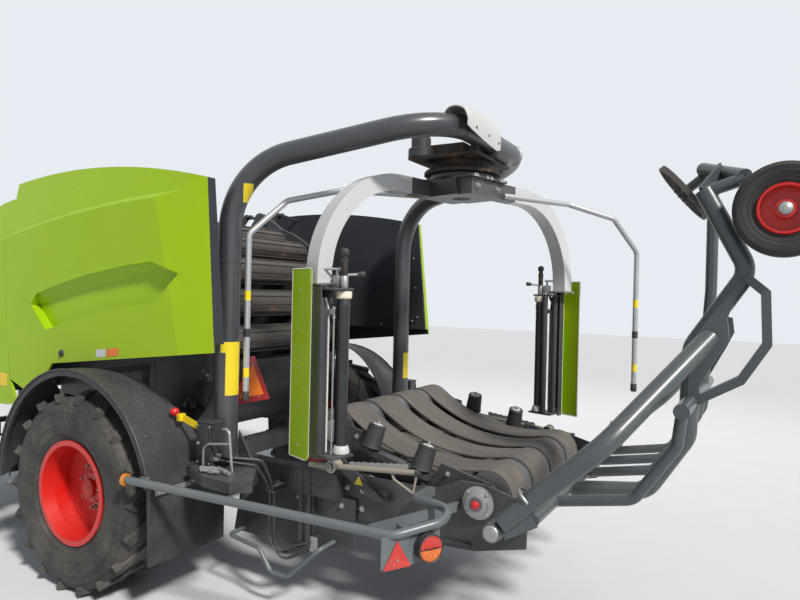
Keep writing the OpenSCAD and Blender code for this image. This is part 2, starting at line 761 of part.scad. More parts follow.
// Three hoses from the left control box, clipped to the rail on their way down
module rear_hoses() {
    box_x = leg_x - 60 - seat_gap;
    side = rail_outer_w / 2;
    color([0.09, 0.09, 0.1]) {
        bent_tube([[box_x, 1076, 868], [-985, 1076, 868], [-1098, side + 160, 850],
            [-1118, side + 62, 690], [-1104, side + 46, 400], [-1150, side + 36, 300],
            [-1350, side - 15, 392]], 9, 55);
        bent_tube([[box_x, 1102, 884], [-1005, 1102, 884], [-1122, side + 175, 862],
            [-1132, side + 84, 690], [-1122, side + 66, 390], [-1160, side + 56, 275],
            [-1350, side - 15, 368]], 9, 55);
        bent_tube([[box_x, 1124, 868], [-985, 1124, 868], [-1090, side + 185, 830],
            [-1104, side + 84, 690], [-1092, side + 80, 420], [-1130, side + 70, 322],
            [-1350, side - 15, 410]], 8, 45);
        translate([-1145, rail_outer_w / 2, 672]) cube([54, 104, 30]);
        translate([-1372, rail_y - 8, 350]) cube([44, 50, 78]);
    }
}

module tail_lamps() {
    color([0.7, 0.05, 0.03]) both_sides() on_lamp_plate() rod([-seat_gap, -76, 0], [-46, -76, 0], 60);
}

module reflectors() {
    end_way = unit(guard_path[0] - guard_path[1]);
    color([0.75, 0.1, 0.05]) both_sides() {
        on_lamp_plate() translate([-5 - seat_gap, 72, -76]) rotate([90, 0, 90]) linear_extrude(height = 5)
            polygon([[-70, 0], [70, 0], [0, 122]]);
        rod(guard_path[0] + end_way * seat_gap, guard_path[0] + end_way * 18, 32);
    }
}

module control_box() {
    color([0.15, 0.15, 0.16]) both_sides()
        translate([leg_x - 60, leg_y + arch_r + 12, leg_z + seat_gap]) cube([110, 90, 230]);
}

// Wrapping arch and head
function arch_path() = [[leg_x, leg_y, leg_z], [leg_x, leg_y, arch_knee_z], [arch_rear_x, arch_rear_y,
    arch_top_z],
    [arch_rear_x, -arch_rear_y, arch_top_z], [leg_x, -leg_y, arch_knee_z], [leg_x, -leg_y, leg_z]];

module wrap_arch() {
    color([0.22, 0.23, 0.25]) bent_tube(arch_path(), arch_r, arch_bend);
}

module wrap_head() {
    lug_top = arch_top_z - arch_r - sleeve_t - seat_gap;
    color([0.16, 0.15, 0.14]) translate([rotor_x, 0, 0]) {
        translate([0, 0, arm_z - arm_side / 2]) cylinder(h = ring_z - arm_z + arm_side / 2 + 4,
            r = head_pin_r);
        translate([0, 0, ring_z]) cylinder(h = 18, r = ring_r);
        translate([0, 0, ring_z + 16]) cylinder(h = 60, r = ring_r * 0.8);
        translate([-210, -260, ring_z + 74]) cube([450, 520, 20]);
        translate([-70, -140, ring_z + 90]) cube([270, 280, 90]);
    }
    color([0.16, 0.15, 0.14]) for (y = [-240, 180])
        translate([arch_rear_x - 18, y, ring_z + 90]) cube([36, 60, lug_top - ring_z - 90]);
}

module head_cover() {
    low = ring_z + 180 + seat_gap;
    over = arch_top_z + arch_r + 8;
    color([0.9, 0.9, 0.9]) translate([rotor_x, 0, 0])
        across(-150, 150) polygon([[-80, low], [-90, over], [-215, over], [-180, over + 55], [50,
            over + 85],
            [210, over + 70], [255, over - 30], [235, low]]);
}

// Wrapping rotor
module on_rotor() {
    for (turn = [0, 180])
        translate([rotor_x, 0, 0]) rotate([0, 0, rotor_rest + turn]) children();
}

module rotor_hub() {
    under_ring = ring_z - 30;
    color([0.13, 0.13, 0.14]) translate([rotor_x, 0, 0]) rotate([0, 0, rotor_rest]) difference() {
        union() {
            translate([0, 0, under_ring]) cylinder(h = 24, r = ring_r * 0.85);
            translate([-180, -arm_from_reel - arm_side / 2 - 20, arm_z + arm_side / 2 + seat_gap])
                cube([360, 2 * arm_from_reel + arm_side + 40, under_ring - arm_z - arm_side / 2 + 2]);
            translate([-180, -arm_from_reel + arm_side / 2 + seat_gap, arm_z - arm_side / 2])
                cube([360, 2 * arm_from_reel - arm_side - 2 * seat_gap, arm_side + 2]);
        }
        translate([0, 0, arm_z - arm_side]) cylinder(h = 2 * arm_side + 60, r = head_pin_r + pin_gap);
    }
}

module wrap_arms() {
    s = arm_side;
    foot_u = reel_at + 50;
    color([0.62, 0.63, 0.62]) on_rotor() translate([0, -arm_from_reel, 0]) {
        translate([-150, -s / 2, arm_z - s / 2]) cube([foot_u - arm_bend + 150, s, s]);
        translate([foot_u - arm_bend, 0, arm_z - arm_bend]) rotate([90, 0, 0]) rotate_extrude(angle = 90)
            translate([arm_bend - s / 2, -s / 2]) square([s, s]);
        translate([foot_u - s / 2, -s / 2, 1830]) cube([s, s, arm_z - arm_bend - 1830]);
    }
}

module safety_bars() {
    out = bar_at * cos(30);
    color([0.7, 0.71, 0.72]) on_rotor()
        bent_tube([[out, -bar_at * sin(30), bar_z], [out, -bar_at * sin(30), 2110],
            [out - 210, -bar_at * sin(30) + 70, 2320], [out - 480, -arm_from_reel - 240, 2400],
            [150, -arm_from_reel - arm_side / 2 - 17, 2410]], bar_r, 60);
}

module film_carriers() {
    plate_end = reel_at + 112;
    color([0.45, 0.46, 0.46]) on_rotor() {
        // Post under the arm, with a plate below and above the reel
        translate([reel_at + 60, -130, 935]) cube([52, 80, 1830 - 935]);
        translate([reel_at - 55, -60, 930]) cube([plate_end - reel_at + 55, 120, 30]);
        translate([reel_at - 26, -28, reel_z + reel_len + 46 + seat_gap])
            cube([plate_end - reel_at + 26, 56, 14]);
        translate([reel_at + 60, -70, reel_z + reel_len + 46 + seat_gap]) cube([52, 120, 14]);
        // Mandrel over the reel, with its knob and lever
        translate([reel_at, 0, reel_z + reel_len + 50]) {
            cylinder(h = 110, r = 26);
            cylinder(h = 190, r = 15);
            translate([0, 0, 196]) sphere(r = 22);
        }
        rod([reel_at, 0, reel_z + reel_len + 125], [reel_at - 62, 62, reel_z + reel_len + 132], 9);
        // Two rollers that stretch the film
        for (p = [[88, -12], [78, 42]])
            translate([reel_at + p.x, p.y, 955]) cylinder(h = reel_z + reel_len + 50 - 955, r = stretch_r);
    }
}

module film_guards() {
    t = 7;
    u = reel_at + 112 + seat_gap + t * 0.35;
    color([0.6, 0.78, 0.08]) on_rotor() translate([0, 0, 935]) linear_extrude(height = 975)
        polygon(strip([[u, -128], [u + 52, -78], [u + 36, -232]], t));
}

module film_reel() {
    color([0.07, 0.07, 0.08]) translate([reel_at, 0, 0]) {
        translate([0, 0, reel_z]) cylinder(h = reel_len, r = reel_r);
        translate([0, 0, 960 + seat_gap]) cylinder(h = reel_z - 960 - seat_gap, r1 = 56, r2 = reel_r);
        translate([0, 0, reel_z + reel_len]) cylinder(h = 46, r1 = reel_r, r2 = 56);
    }
}

module left_film_reel() { translate([rotor_x, 0, 0]) rotate([0, 0, rotor_rest]) film_reel(); }
module right_film_reel() { translate([rotor_x, 0, 0]) rotate([0, 0, rotor_rest + 180]) film_reel(); }

// Wrapping table
module on_table() {
    translate([table_x, 0, table_z]) rotate([0, -table_rise, 0]) children();
}

module drum(x, reach) {
    translate([x, drum_w / 2, 0]) rotate([90, 0, 0]) cylinder(h = drum_w, r = drum_r);
    translate([x, reach, 0]) rotate([90, 0, 0]) cylinder(h = 2 * reach, r = drum_pin_r);
}

module table_drums() {
    color([0.5, 0.52, 0.54]) on_table() {
        drum(0, plate_gap_w / 2 + plate_t + 50);
        drum(table_len, drum_w / 2 + 20 - seat_gap);
    }
}

// The belt's run, as points and normals round the rear drum, along the bottom, round the front drum
// and back over the sagging top
function belt_line(r) =
    let (tip = [r * sin(belt_dip), r * cos(belt_dip)], run = table_len - 2 * tip.x,
        dip = run * tan(belt_dip) / 4)
    concat(
        [for (a = [90 - belt_dip:(180 + belt_dip) / 16:270.01]) r * [cos(a), sin(a)]],
        [for (a = [-90:(180 + belt_dip) / 16:90 + belt_dip + 0.01]) [table_len, 0] + r * [cos(a), sin(a)]],
        [for (i = [1:11]) let (t = i / 12) [table_len - tip.x - run * t, tip.y - 4 * dip * t * (1 - t)]]);

module table_belts() {
    step = (drum_w - 2 * 10 - belt_w) / (belt_count - 1);
    inner = drum_r + 1;
    color([0.33, 0.28, 0.24]) on_table()
        for (i = [0:belt_count - 1]) {
            y = -drum_w / 2 + 10 + i * step;
            across(y, y + belt_w) difference() {
                polygon(belt_line(inner + belt_t));
                polygon(belt_line(inner));
            }
        }
}

module table_frame() {
    y = drum_w / 2 + 20;
    color([0.2, 0.21, 0.22]) on_table() {
        both_sides() {
            difference() {
                across(y, y + 16) polygon([[-70, -80], [table_len - 40, -170], [table_len + 70, -80],
                    [table_len + 70, 40],
                    [table_len - 40, 70], [770, 70], [750, 8], [290, 8], [270, 80], [-20, 80], [-70, 40]]);
                rod([0, y - 1, 0], [0, y + 20, 0], drum_pin_r + pin_gap);
            }
            translate([300, y + 4, -20]) cube([460, 62, 30]);
        }
        rod([260, -y - 4, -70], [260, y + 4, -70], 24);
        rod([640, -y - 4, -70], [640, y + 4, -70], 24);
    }
}

module side_cones() {
    lean = 12;
    color([0.09, 0.09, 0.1]) on_table() both_sides()
        for (x = [360, 680])
            translate([x, drum_w / 2 + 70, 10 + seat_gap + 46 * tan(lean)]) rotate([lean, 0, 0])
                cylinder(h = 125, r1 = 56, r2 = 47);
}

module film_cutter() {
    at = [cutter_x, cutter_y, cutter_z];
    wire = [[-360, 20, 30], [-380, 20, -10], [-492, 20, -62], [-512, 20, 40]];
    color([0.5, 0.47, 0.4]) difference() {
        union() {
            rod(at + [0, -30, 0], at + [0, 50, 0], 26);
            rod(at + [175, 20, -16], at + [-520, 20, 44], 14);
            for (i = [0:2]) rod(at + wire[i], at + wire[i + 1], 6);
            for (i = [1:2]) translate(at + wire[i]) sphere(r = 6.2);
        }
        rod(at - [0, 40, 0], at + [0, 60, 0], cutter_pin_r + pin_gap);
    }
}

module left_film_cutter() { film_cutter(); }
module right_film_cutter() { translate([2 * rotor_x, 0, 0]) rotate([0, 0, 180]) film_cutter(); }

// Bale turner
module turner_frame() {
    hinge = [turner_x, turner_y, turner_z];
    row = [[-2640, 815], [-2995, 885], [-3170, 1150], [-3190, 1320]];
    mast = [[-2640, 800], [-3000, 850], [-3180, 1140], [-3190, 1570], [-3420, 1930], [-3225, 2310]];
    color([0.33, 0.38, 0.4]) {
        both_sides() difference() {
            union() {
                rod(hinge - [0, 46, 0], hinge + [0, 46, 0], 44);
                bent_tube([hinge + [-34, 0, 40], [-2915, 855, 1165], [-3270, 350, 1620]], turner_r, 300);
            }
            rod(hinge - [0, 60, 0], hinge + [0, 60, 0], turner_pin_r + pin_gap);
        }
        // Row of tubes under the bale, on a rung in front and a cross tube behind
        rod([-2640, -turner_y + 30, 815], [-2640, turner_y - 30, 815], 24);
        beam([-2640, turner_y - 40, 815], hinge + [-40, 0, 0], 30, 60);
        beam([-2640, -turner_y + 40, 815], [hinge.x - 40, -turner_y, hinge.z], 30, 60);
        rod([-3190, -655, 1310], [-3190, 655, 1310], 34);
        for (y = [-600, -300, 0, 600])
            bent_tube([for (p = row) [p.x, y, p.y]], 26, 80);
        // Mast on the left, and the slimmer tube on the right
        bent_tube([for (p = mast) [p.x, 300, p.y]], turner_r - 4, 110);
        bent_tube([[-3190, -300, 1300], [-3222, -300, 1850], [-3222, -300, 2310]], 30, 200);
        // Web between the mast and the side tube
        across(335, 365) polygon([[-3180, 1290], [-3300, 1530], [-3350, 1620], [-3340, 1710], [-3400, 1900],
            [-3190, 1600]]);
        across(-365, -335) polygon([[-3180, 1290], [-3300, 1530], [-3340, 1620], [-3330, 1700], [-3190,
            1740]]);
        translate([-3215, 300, 1450]) cube([60, 60, 100]);
        translate([-3235, -360, 1600]) cube([50, 60, 100]);
        // Bent flat bar behind the mast
        across(256, 344) polygon(strip([[-3185, 1300], [-3400, 1430], [-3500, 1600], [-3490, 1830],
            [-3405, 1905]], 12));
        // Cross tubes at the top, which carry the disc and the wheel
        rod([-3225, 300, 2300], [-3392, 303, 2352], 30);
        rod([-3190, -20, 2470], [-3395, 312, 2362], 34);
        rod([-3222, -300, 2300], [-3190, -20, 2470], 30);
        beam([-3225, 290, 2280], [-3300, 160, 2415], 12, 110);
        rod([-3190, -45, 2433], disc_at + disc_way * seat_gap, 24);
        beam([-3392, 321, 2354], [turner_wheel_x, 321, turner_wheel_z], 16, 70);
        rod([turner_wheel_x, 314, turner_wheel_z], [turner_wheel_x, turner_wheel_y + 44, turner_wheel_z],
            turner_axle_r);
    }
}

module turner_disc() {
    axes(disc_at, level_side(disc_way), cross(disc_way, level_side(disc_way)), disc_way) color([0.08,
        0.08, 0.09]) {
        difference() {
            translate([0, 0, -34]) cylinder(h = 26, r = disc_r);
            translate([0, 0, -35]) cylinder(h = 28, r = disc_r - 20);
        }
        translate([0, 0, -26]) cylinder(h = 8, r = disc_r - 10);
        for (a = [0:30:330]) rotate([0, 0, a]) translate([40, -5, -34]) cube([disc_r - 50, 10, 24]);
        translate([0, 0, -44]) cylinder(h = 44, r = 52);
    }
}

module turner_tyre() {
    color([0.12, 0.12, 0.12]) on_hub(turner_wheel_x, turner_wheel_y, turner_wheel_z)
        rotate_extrude() polygon([[112, -50], [160, -turner_tyre_w / 2], [turner_tyre_r - 20,
            -turner_tyre_w / 2],
            [turner_tyre_r, -40], [turner_tyre_r, 40], [turner_tyre_r - 20, turner_tyre_w / 2],
            [160, turner_tyre_w / 2], [112, 50]]);
}

module turner_rim() {
    color([0.75, 0.08, 0.06]) on_hub(turner_wheel_x, turner_wheel_y, turner_wheel_z) difference() {
        rotate_extrude() polygon([[0, -30], [100, -30], [100, -62], [108, -62], [111.7, -50], [111.7,
            50], [108, 62],
            [98, 62], [98, -10], [40, -10], [40, 50], [0, 50]]);
        translate([0, 0, -80]) cylinder(h = 125 + pin_gap, r = turner_axle_r + pin_gap);
    }
}

// Pick-up
module pickup_frame() {
    y = pickup_w / 2;
    color([0.3, 0.31, 0.33]) {
        both_sides() {
            difference() {
                across(y, y + 12) polygon([[pickup_hinge_x - 50, 500], [gauge_x - 60, 290],
                    [pickup_x + 120, 260],
                    [pickup_x + 230, 420], [pickup_x + 160, 640], [pickup_hinge_x + 60, 640],
                        [pickup_hinge_x - 50, 620]]);
                rod([pickup_x, y - 1, pickup_z], [pickup_x, y + 20, pickup_z], reel_shaft_r + pin_gap);
                rod([pickup_hinge_x, y - 1, pickup_hinge_z], [pickup_hinge_x, y + 20, pickup_hinge_z],
                    hinge_pin_r + pin_gap);
            }
            rod([gauge_x, y + 10, gauge_z], [gauge_x, y + 158, gauge_z], gauge_pin_r);
        }
        rod([1430, -y - 2, 430], [1430, y + 2, 430], 40);
        rod([pickup_x + 150, -y - 2, 690], [pickup_x + 150, y + 2, 690], 24);
        both_sides() across(y - 8, y + 4) polygon([[pickup_x + 100, 560], [pickup_x + 180, 560],
            [pickup_x + 180, 720],
            [pickup_x + 120, 720]]);
    }
}

module pickup_reel() {
    y = pickup_w / 2;
    color([0.4, 0.38, 0.35]) {
        rod([pickup_x, -y - 11, pickup_z], [pickup_x, y + 11, pickup_z], reel_shaft_r);
        rod([pickup_x, -y + 10, pickup_z], [pickup_x, y - 10, pickup_z], 60);
        translate([pickup_x, 0, pickup_z]) rotate([90, 0, 0])
            for (a = [0:90:270]) rotate([0, 0, a])
                translate([120, -8, -y + 12]) cube([16, 16, 2 * y - 24]);
        for (s = [-1, 0, 1]) translate([pickup_x, s * (y - 40) + 5, pickup_z]) rotate([90, 0, 0])
            for (a = [0:90:270]) rotate([0, 0, a]) translate([0, -20, 0]) cube([136, 40, 10]);
        translate([pickup_x, 0, pickup_z]) rotate([90, 0, 0])
            for (a = [0:90:270], i = [-12:12]) rotate([0, 0, a])
                translate([130, -4, i * (y - 60) / 12 - 4]) cube([tine_tip_r - 131, 8, 8]);
    }
}

module gauge_wheel() {
    y = pickup_w / 2 + 92;
    color([0.12, 0.12, 0.12]) on_hub(gauge_x, y, gauge_z) difference() {
        rotate_extrude() polygon([[0, -50], [90, -50], [gauge_r - 15, -60], [gauge_r, -40], [gauge_r,
            40], [gauge_r - 15, 60],
            [90, 50], [0, 50]]);
        translate([0, 0, -70]) cylinder(h = 140, r = gauge_pin_r + pin_gap);
    }
}

module left_gauge_wheel() { gauge_wheel(); }
module right_gauge_wheel() { mirror([0, 1, 0]) gauge_wheel(); }

// Tailgate
module tailgate_walls() {
    color([0.24, 0.25, 0.27]) both_sides() {
        across(wall_y, wall_y + wall_t) translate([chamber_x, chamber_z]) intersection() {
            circle(r = wall_r, $fn = wall_fn);
            split_side(false);
        }
        // Arm from the wall to the hinge pin, outside the front wall
        difference() {
            across(wall_y + wall_t + 8, wall_y + wall_t + 34) translate([hinge_x, hinge_z]) {
                circle(r = 58);
                polygon([[-30, 50], [40, -40], [-180, -330], [-420, -330], [-440, -230]]);
            }
            rod([hinge_x, wall_y, hinge_z], [hinge_x, wall_y + 90, hinge_z], 26 + pin_gap);
        }
        rod([hinge_x - 300, wall_y + wall_t, hinge_z - 270], [hinge_x - 300, wall_y + wall_t + 10,
            hinge_z - 270], 50);
    }
}

module tailgate_rollers() {
    color([0.33, 0.3, 0.27])
        for (i = [0:7]) chamber_roller(105 + i * roller_pitch);
}

module tailgate_plate() {
    color([0.27, 0.28, 0.3]) {
        across(-wall_y, wall_y) difference() {
            translate([chamber_x, chamber_z]) intersection() {
                difference() {
                    circle(r = wall_r, $fn = wall_fn);
                    circle(r = wall_r - 8, $fn = wall_fn);
                }
                polygon([[0, 0], [-2000, -500], [-2000, -1300], [-900, -1500]]);
            }
        }
        // Bracket of the vehicle sign
        across(370, 430) polygon([[sign_x + 5 + seat_gap, 1160], [-392, 1160], [-361, 1100],
            [sign_x + 5 + seat_gap, 1100]]);
    }
}

module vehicle_sign() {
    color([0.9, 0.35, 0.05]) translate([sign_x, 400, 1160]) rotate([0, 90, 0])
        rotate([0, 0, 180]) linear_extrude(height = 5) polygon([[-120, -180], [-120, 180], [190, 20],
            [190, -20]]);
}

from_axle() main_frame();
from_axle() axle();
from_axle() drawbar();
from_axle() stand_leg();
from_axle() chamber_walls();
from_axle() front_rollers();
from_axle() front_cover();
from_axle() gearbox();
from_axle() fenders();
from_axle() guard_rails();
from_axle() rear_hoses();
from_axle() tail_lamps();
from_axle() reflectors();
from_axle() front_panels();
from_axle() wrap_arch();
from_axle() wrap_head();
from_axle() head_cover();
from_axle() control_box();
from_axle() left_side_panel();
from_axle() right_side_panel();
from_axle() tailgate_walls();
from_axle() tailgate_rollers();
from_axle() tailgate_plate();
from_axle() vehicle_sign();
from_axle() left_tyre();
from_axle() left_rim();
from_axle() right_tyre();
from_axle() right_rim();
from_axle() rotor_hub();
from_axle() wrap_arms();
from_axle() safety_bars();
from_axle() film_carriers();
from_axle() film_guards();
from_axle() left_film_reel();
from_axle() right_film_reel();
from_axle() table_frame();
from_axle() table_drums();
from_axle() table_belts();
from_axle() side_cones();
from_axle() left_film_cutter();
from_axle() right_film_cutter();
from_axle() turner_frame();
from_axle() turner_disc();
from_axle() turner_tyre();
from_axle() turner_rim();
from_axle() pickup_frame();
from_axle() pickup_reel();
from_axle() left_gauge_wheel();
from_axle() right_gauge_wheel();
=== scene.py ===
import math
import bpy
import bmesh
from mathutils import Matrix, Vector


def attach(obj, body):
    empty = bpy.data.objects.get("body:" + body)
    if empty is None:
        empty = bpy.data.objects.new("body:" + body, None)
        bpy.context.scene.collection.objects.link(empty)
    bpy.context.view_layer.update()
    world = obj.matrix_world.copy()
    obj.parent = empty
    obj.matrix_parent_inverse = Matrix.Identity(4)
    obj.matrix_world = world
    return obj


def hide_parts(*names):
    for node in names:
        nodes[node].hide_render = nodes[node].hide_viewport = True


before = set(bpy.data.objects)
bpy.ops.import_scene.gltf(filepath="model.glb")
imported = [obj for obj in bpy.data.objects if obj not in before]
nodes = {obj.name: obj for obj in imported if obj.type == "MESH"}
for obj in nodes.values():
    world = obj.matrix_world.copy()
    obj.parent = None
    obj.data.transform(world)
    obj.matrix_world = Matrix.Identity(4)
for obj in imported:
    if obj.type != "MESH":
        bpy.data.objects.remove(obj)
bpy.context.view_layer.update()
scene = bpy.context.scene

# Camera
# It stands behind the machine's left rear corner at 1.78 m, with the wide lens of a phone. Its place
# and turns were solved from the road wheel, the track and the upright tubes.
eye = Vector((-3.2395, 3.6102, 1.7814))
turn, tip, roll = 0.5281, -0.0069, 0.0226
frame_width, focal_length = 800, 635.67      # pixels
ahead = Vector((math.sin(turn) * math.cos(tip), -math.cos(turn) * math.cos(tip), math.sin(tip)))
level = ahead.cross(Vector((0, 0, 1))).normalized()
upright = level.cross(ahead)
right = level * math.cos(roll) + upright * math.sin(roll)
up = upright * math.cos(roll) - level * math.sin(roll)
camera_data = bpy.data.cameras.new("camera")
camera = bpy.data.objects.new("camera", camera_data)
scene.collection.objects.link(camera)
camera_data.sensor_width = 36
camera_data.lens = focal_length / frame_width * 36
camera_data.clip_start = 0.05
camera.matrix_world = Matrix.Translation(eye) @ Matrix((right, up, -ahead)).transposed().to_4x4()
scene.camera = camera

# Light
# A high lamp behind the left wheel casts soft-edged shadows, and two weak wide lamps, which gloss
# doesn't mirror, light the shaded sides. Only the camera, gloss and glass see the pale backdrop.
scene.view_settings.view_transform = "Standard"


def aimed(data, way):
    """Hangs a lamp in the scene, shining along way."""
    obj = bpy.data.objects.new(data.name, data)
    obj.rotation_euler = Vector(way).to_track_quat("-Z", "Y").to_euler()
    scene.collection.objects.link(obj)
    return obj


key_data = bpy.data.lights.new("key_lamp", "SUN")
key_data.energy, key_data.angle, key_data.color = 4.1, math.radians(7), (1.0, 0.97, 0.93)
aimed(key_data, (7.0, -3.2, -6.8))
for name, at, aim, power, tint in (
        ("fill_lamp", (5.5, 6.0, 4.0), (0, 0, 1.2), 40, (0.93, 0.96, 1.0)),
        ("rim_lamp", (-1.0, -7.0, 6.0), (-0.5, 0, 1.2), 130, (0.95, 0.97, 1.0))):
    wide_data = bpy.data.lights.new(name, "AREA")
    wide_data.size, wide_data.energy, wide_data.color = 5.0, power, tint
    wide = aimed(wide_data, Vector(aim) - Vector(at))
    wide.location = at
    wide.visible_glossy = False


def feed(tree, place, value):
    """Links a wire to a socket, or sets the socket's own value."""
    if isinstance(value, Wire):
        tree.links.new(value.socket, place)
    else:
        place.default_value = (*value[:3], 1) if place.type == "RGBA" else value


def find(sockets, name):
    """A socket by its number, its name or its identifier."""
    if isinstance(name, int):
        return sockets[name]
    return next(s for s in sockets if name in (s.identifier, s.name))


def add_node(tree, kind, output, inputs=None, **settings):
    """Adds a node with its settings, then the values or links of its sockets."""
    node = tree.nodes.new(kind)
    for name, value in settings.items():
        setattr(node, name, value)
    for name, value in (inputs or {}).items():
        feed(tree, find(node.inputs, name), value)
    return None if output is None else Wire(tree, find(node.outputs, output))


class Wire:
    """A node's output that can be added, multiplied and compared like a number."""

    def __init__(self, tree, socket):
        self.tree, self.socket = tree, socket

    def math(self, what, *others, first=False):
        values = list(others) + [self] if first else [self] + list(others)
        return add_node(self.tree, "ShaderNodeMath", 0, dict(enumerate(values)), operation=what)

    def __add__(self, other): return self.math("ADD", other)
    def __radd__(self, other): return self.math("ADD", other)
    def __sub__(self, other): return self.math("SUBTRACT", other)
    def __rsub__(self, other): return self.math("SUBTRACT", other, first=True)
    def __mul__(self, other): return self.math("MULTIPLY", other)
    def __rmul__(self, other): return self.math("MULTIPLY", other)
    def __truediv__(self, other): return self.math("DIVIDE", other)
    def __rtruediv__(self, other): return self.math("DIVIDE", other, first=True)
    def __pow__(self, other): return self.math("POWER", other)
    def __gt__(self, other): return self.math("GREATER_THAN", other)
    def __lt__(self, other): return self.math("LESS_THAN", other)
    def __abs__(self): return self.math("ABSOLUTE")
    def low(self, other): return self.math("MINIMUM", other)
    def high(self, other): return self.math("MAXIMUM", other)

    def between(self, start, end):
        """1 between start and end, and 0 outside them."""
        return (self > start) * (self < end)

    def ramp(self, start, end):
        """0 up to start, 1 from end on, and smooth between them."""
        return add_node(self.tree, "ShaderNodeMapRange", 0,
                        {"Value": self, "From Min": start, "From Max": end},
                        interpolation_type="SMOOTHSTEP")


world = bpy.data.worlds.new("room")
scene.world = world
world.use_nodes = True
sky = world.node_tree
sky.nodes.clear()
direct, glossy, through = [add_node(sky, "ShaderNodeLightPath", ray)
                           for ray in ("Is Camera Ray", "Is Glossy Ray", "Is Transmission Ray")]
soft = add_node(sky, "ShaderNodeBackground", 0, {"Color": (0.78, 0.86, 1.0), "Strength": 0.25})
pale = add_node(sky, "ShaderNodeBackground", 0, {"Color": (0.80, 0.84, 0.89), "Strength": 1.0})
shown = add_node(sky, "ShaderNodeMixShader", 0, {0: direct.high(glossy).high(through), 1: soft, 2: pale})
add_node(sky, "ShaderNodeOutputWorld", None, {"Surface": shown})


# Floor
# Pale ground with a slight mottle, 60 m across. Materials are built up in layers from here on,
# because it is the first surface.
class Finish:
    """A material that is built up in layers of colour, roughness and height."""

    def __init__(self, name, colour, rough, metallic=0.0, coat=0.0, **fixed):
        self.material = bpy.data.materials.new(name)
        self.material.use_nodes = True
        self.tree = self.material.node_tree
        self.shader = self.tree.nodes["Principled BSDF"]
        self.colour, self.rough, self.metallic, self.coat = tuple(colour), rough, metallic, coat
        self.height = 0.0
        for name, value in fixed.items():
            self.shader.inputs[name.replace("_", " ")].default_value = value
        self.at = self.node("ShaderNodeTexCoord", "Object")

    def node(self, kind, output, inputs=None, **settings):
        return add_node(self.tree, kind, output, inputs, **settings)

    def stretched(self, x, y, z):
        return self.node("ShaderNodeMapping", 0, {"Vector": self.at, "Scale": (x, y, z)})

    def noise(self, scale, detail=3.0, rough=0.55, stretch=None):
        """Clouds; a scale under 1 in stretch draws them out along that axis."""
        at = self.stretched(*stretch) if stretch else self.at
        return self.node("ShaderNodeTexNoise", 0,
                         {"Vector": at, "Scale": scale, "Detail": detail, "Roughness": rough})

    def cells(self, scale):
        """Small facets, as in a lens."""
        return self.node("ShaderNodeTexVoronoi", 0, {"Vector": self.at, "Scale": scale})

    def axis(self, letter):
        """A point's place along one axis, in metres."""
        return self.node("ShaderNodeSeparateXYZ", letter, {"Vector": self.at})

    def facing(self, letter):
        """How far a surface faces along one axis, from -1 to 1."""
        normal = self.node("ShaderNodeNewGeometry", "Normal")
        return self.node("ShaderNodeSeparateXYZ", letter, {"Vector": normal})

    def mix(self, share, low, high, kind="RGBA"):
        """low where share is 0 and high where it is 1."""
        tag = {"RGBA": "_Color", "FLOAT": "_Float"}[kind]
        return self.node("ShaderNodeMix", "Result" + tag,
                         {"Factor_Float": share, "A" + tag: low, "B" + tag: high}, data_type=kind)

    def layer(self, share, colour=None, rough=None, metallic=None, coat=None):
        """Covers what is there by share with another colour, roughness and so on."""
        if colour is not None:
            self.colour = self.mix(share, self.colour, colour)
        if rough is not None:
            self.rough = self.mix(share, self.rough, rough, "FLOAT")
        if metallic is not None:
            self.metallic = self.mix(share, self.metallic, metallic, "FLOAT")
        if coat is not None:
            self.coat = self.mix(share, self.coat, coat, "FLOAT")
        return self

    def bump(self, height, depth):
        """Adds a relief; depth is its full height in metres."""
        self.height = height * depth + self.height
        return self

    def dust(self, amount=0.5, colour=(0.26, 0.24, 0.205), scale=3.0):
        """Road dust, thicker on what faces up and low on the machine."""
        cloud = self.noise(scale, 5.0, 0.65).ramp(0.38, 0.78)
        fine = self.noise(scale * 22, 3.0, 0.7).ramp(0.3, 0.8)
        low = 1.0 - self.axis("Z").ramp(0.2, 2.2)
        top = self.facing("Z").ramp(0.15, 0.95)
        share = (cloud * (0.35 + 0.65 * fine) * (0.35 + 0.65 * low) + top * fine * 0.5) * amount
        return self.layer(share.low(0.9), colour, 0.9, 0.0, 0.0)

    def done(self, *names):
        """Wires the layers to the shader and puts the material on the CAD nodes that are named."""
        for name, value in (("Base Color", self.colour), ("Roughness", self.rough),
                            ("Metallic", self.metallic), ("Coat Weight", self.coat)):
            feed(self.tree, self.shader.inputs[name], value)
        if isinstance(self.height, Wire):
            relief = self.node("ShaderNodeBump", 0, {"Strength": 1.0, "Distance": 1.0, "Height": self.height})
            feed(self.tree, self.shader.inputs["Normal"], relief)
        for name in names:
            obj = nodes[name]
            obj.data.materials.clear()
            obj.data.materials.append(self.material)
        return self.material


bpy.ops.mesh.primitive_plane_add(size=60, location=(0, 0, 0))
floor = bpy.context.object
floor.name = "floor"
ground = Finish("floor", (0.66, 0.67, 0.68), 0.85)
ground.layer(ground.noise(3, 4.0).ramp(0.3, 0.7) * 0.25, (0.60, 0.605, 0.61))
floor.data.materials.append(ground.done())


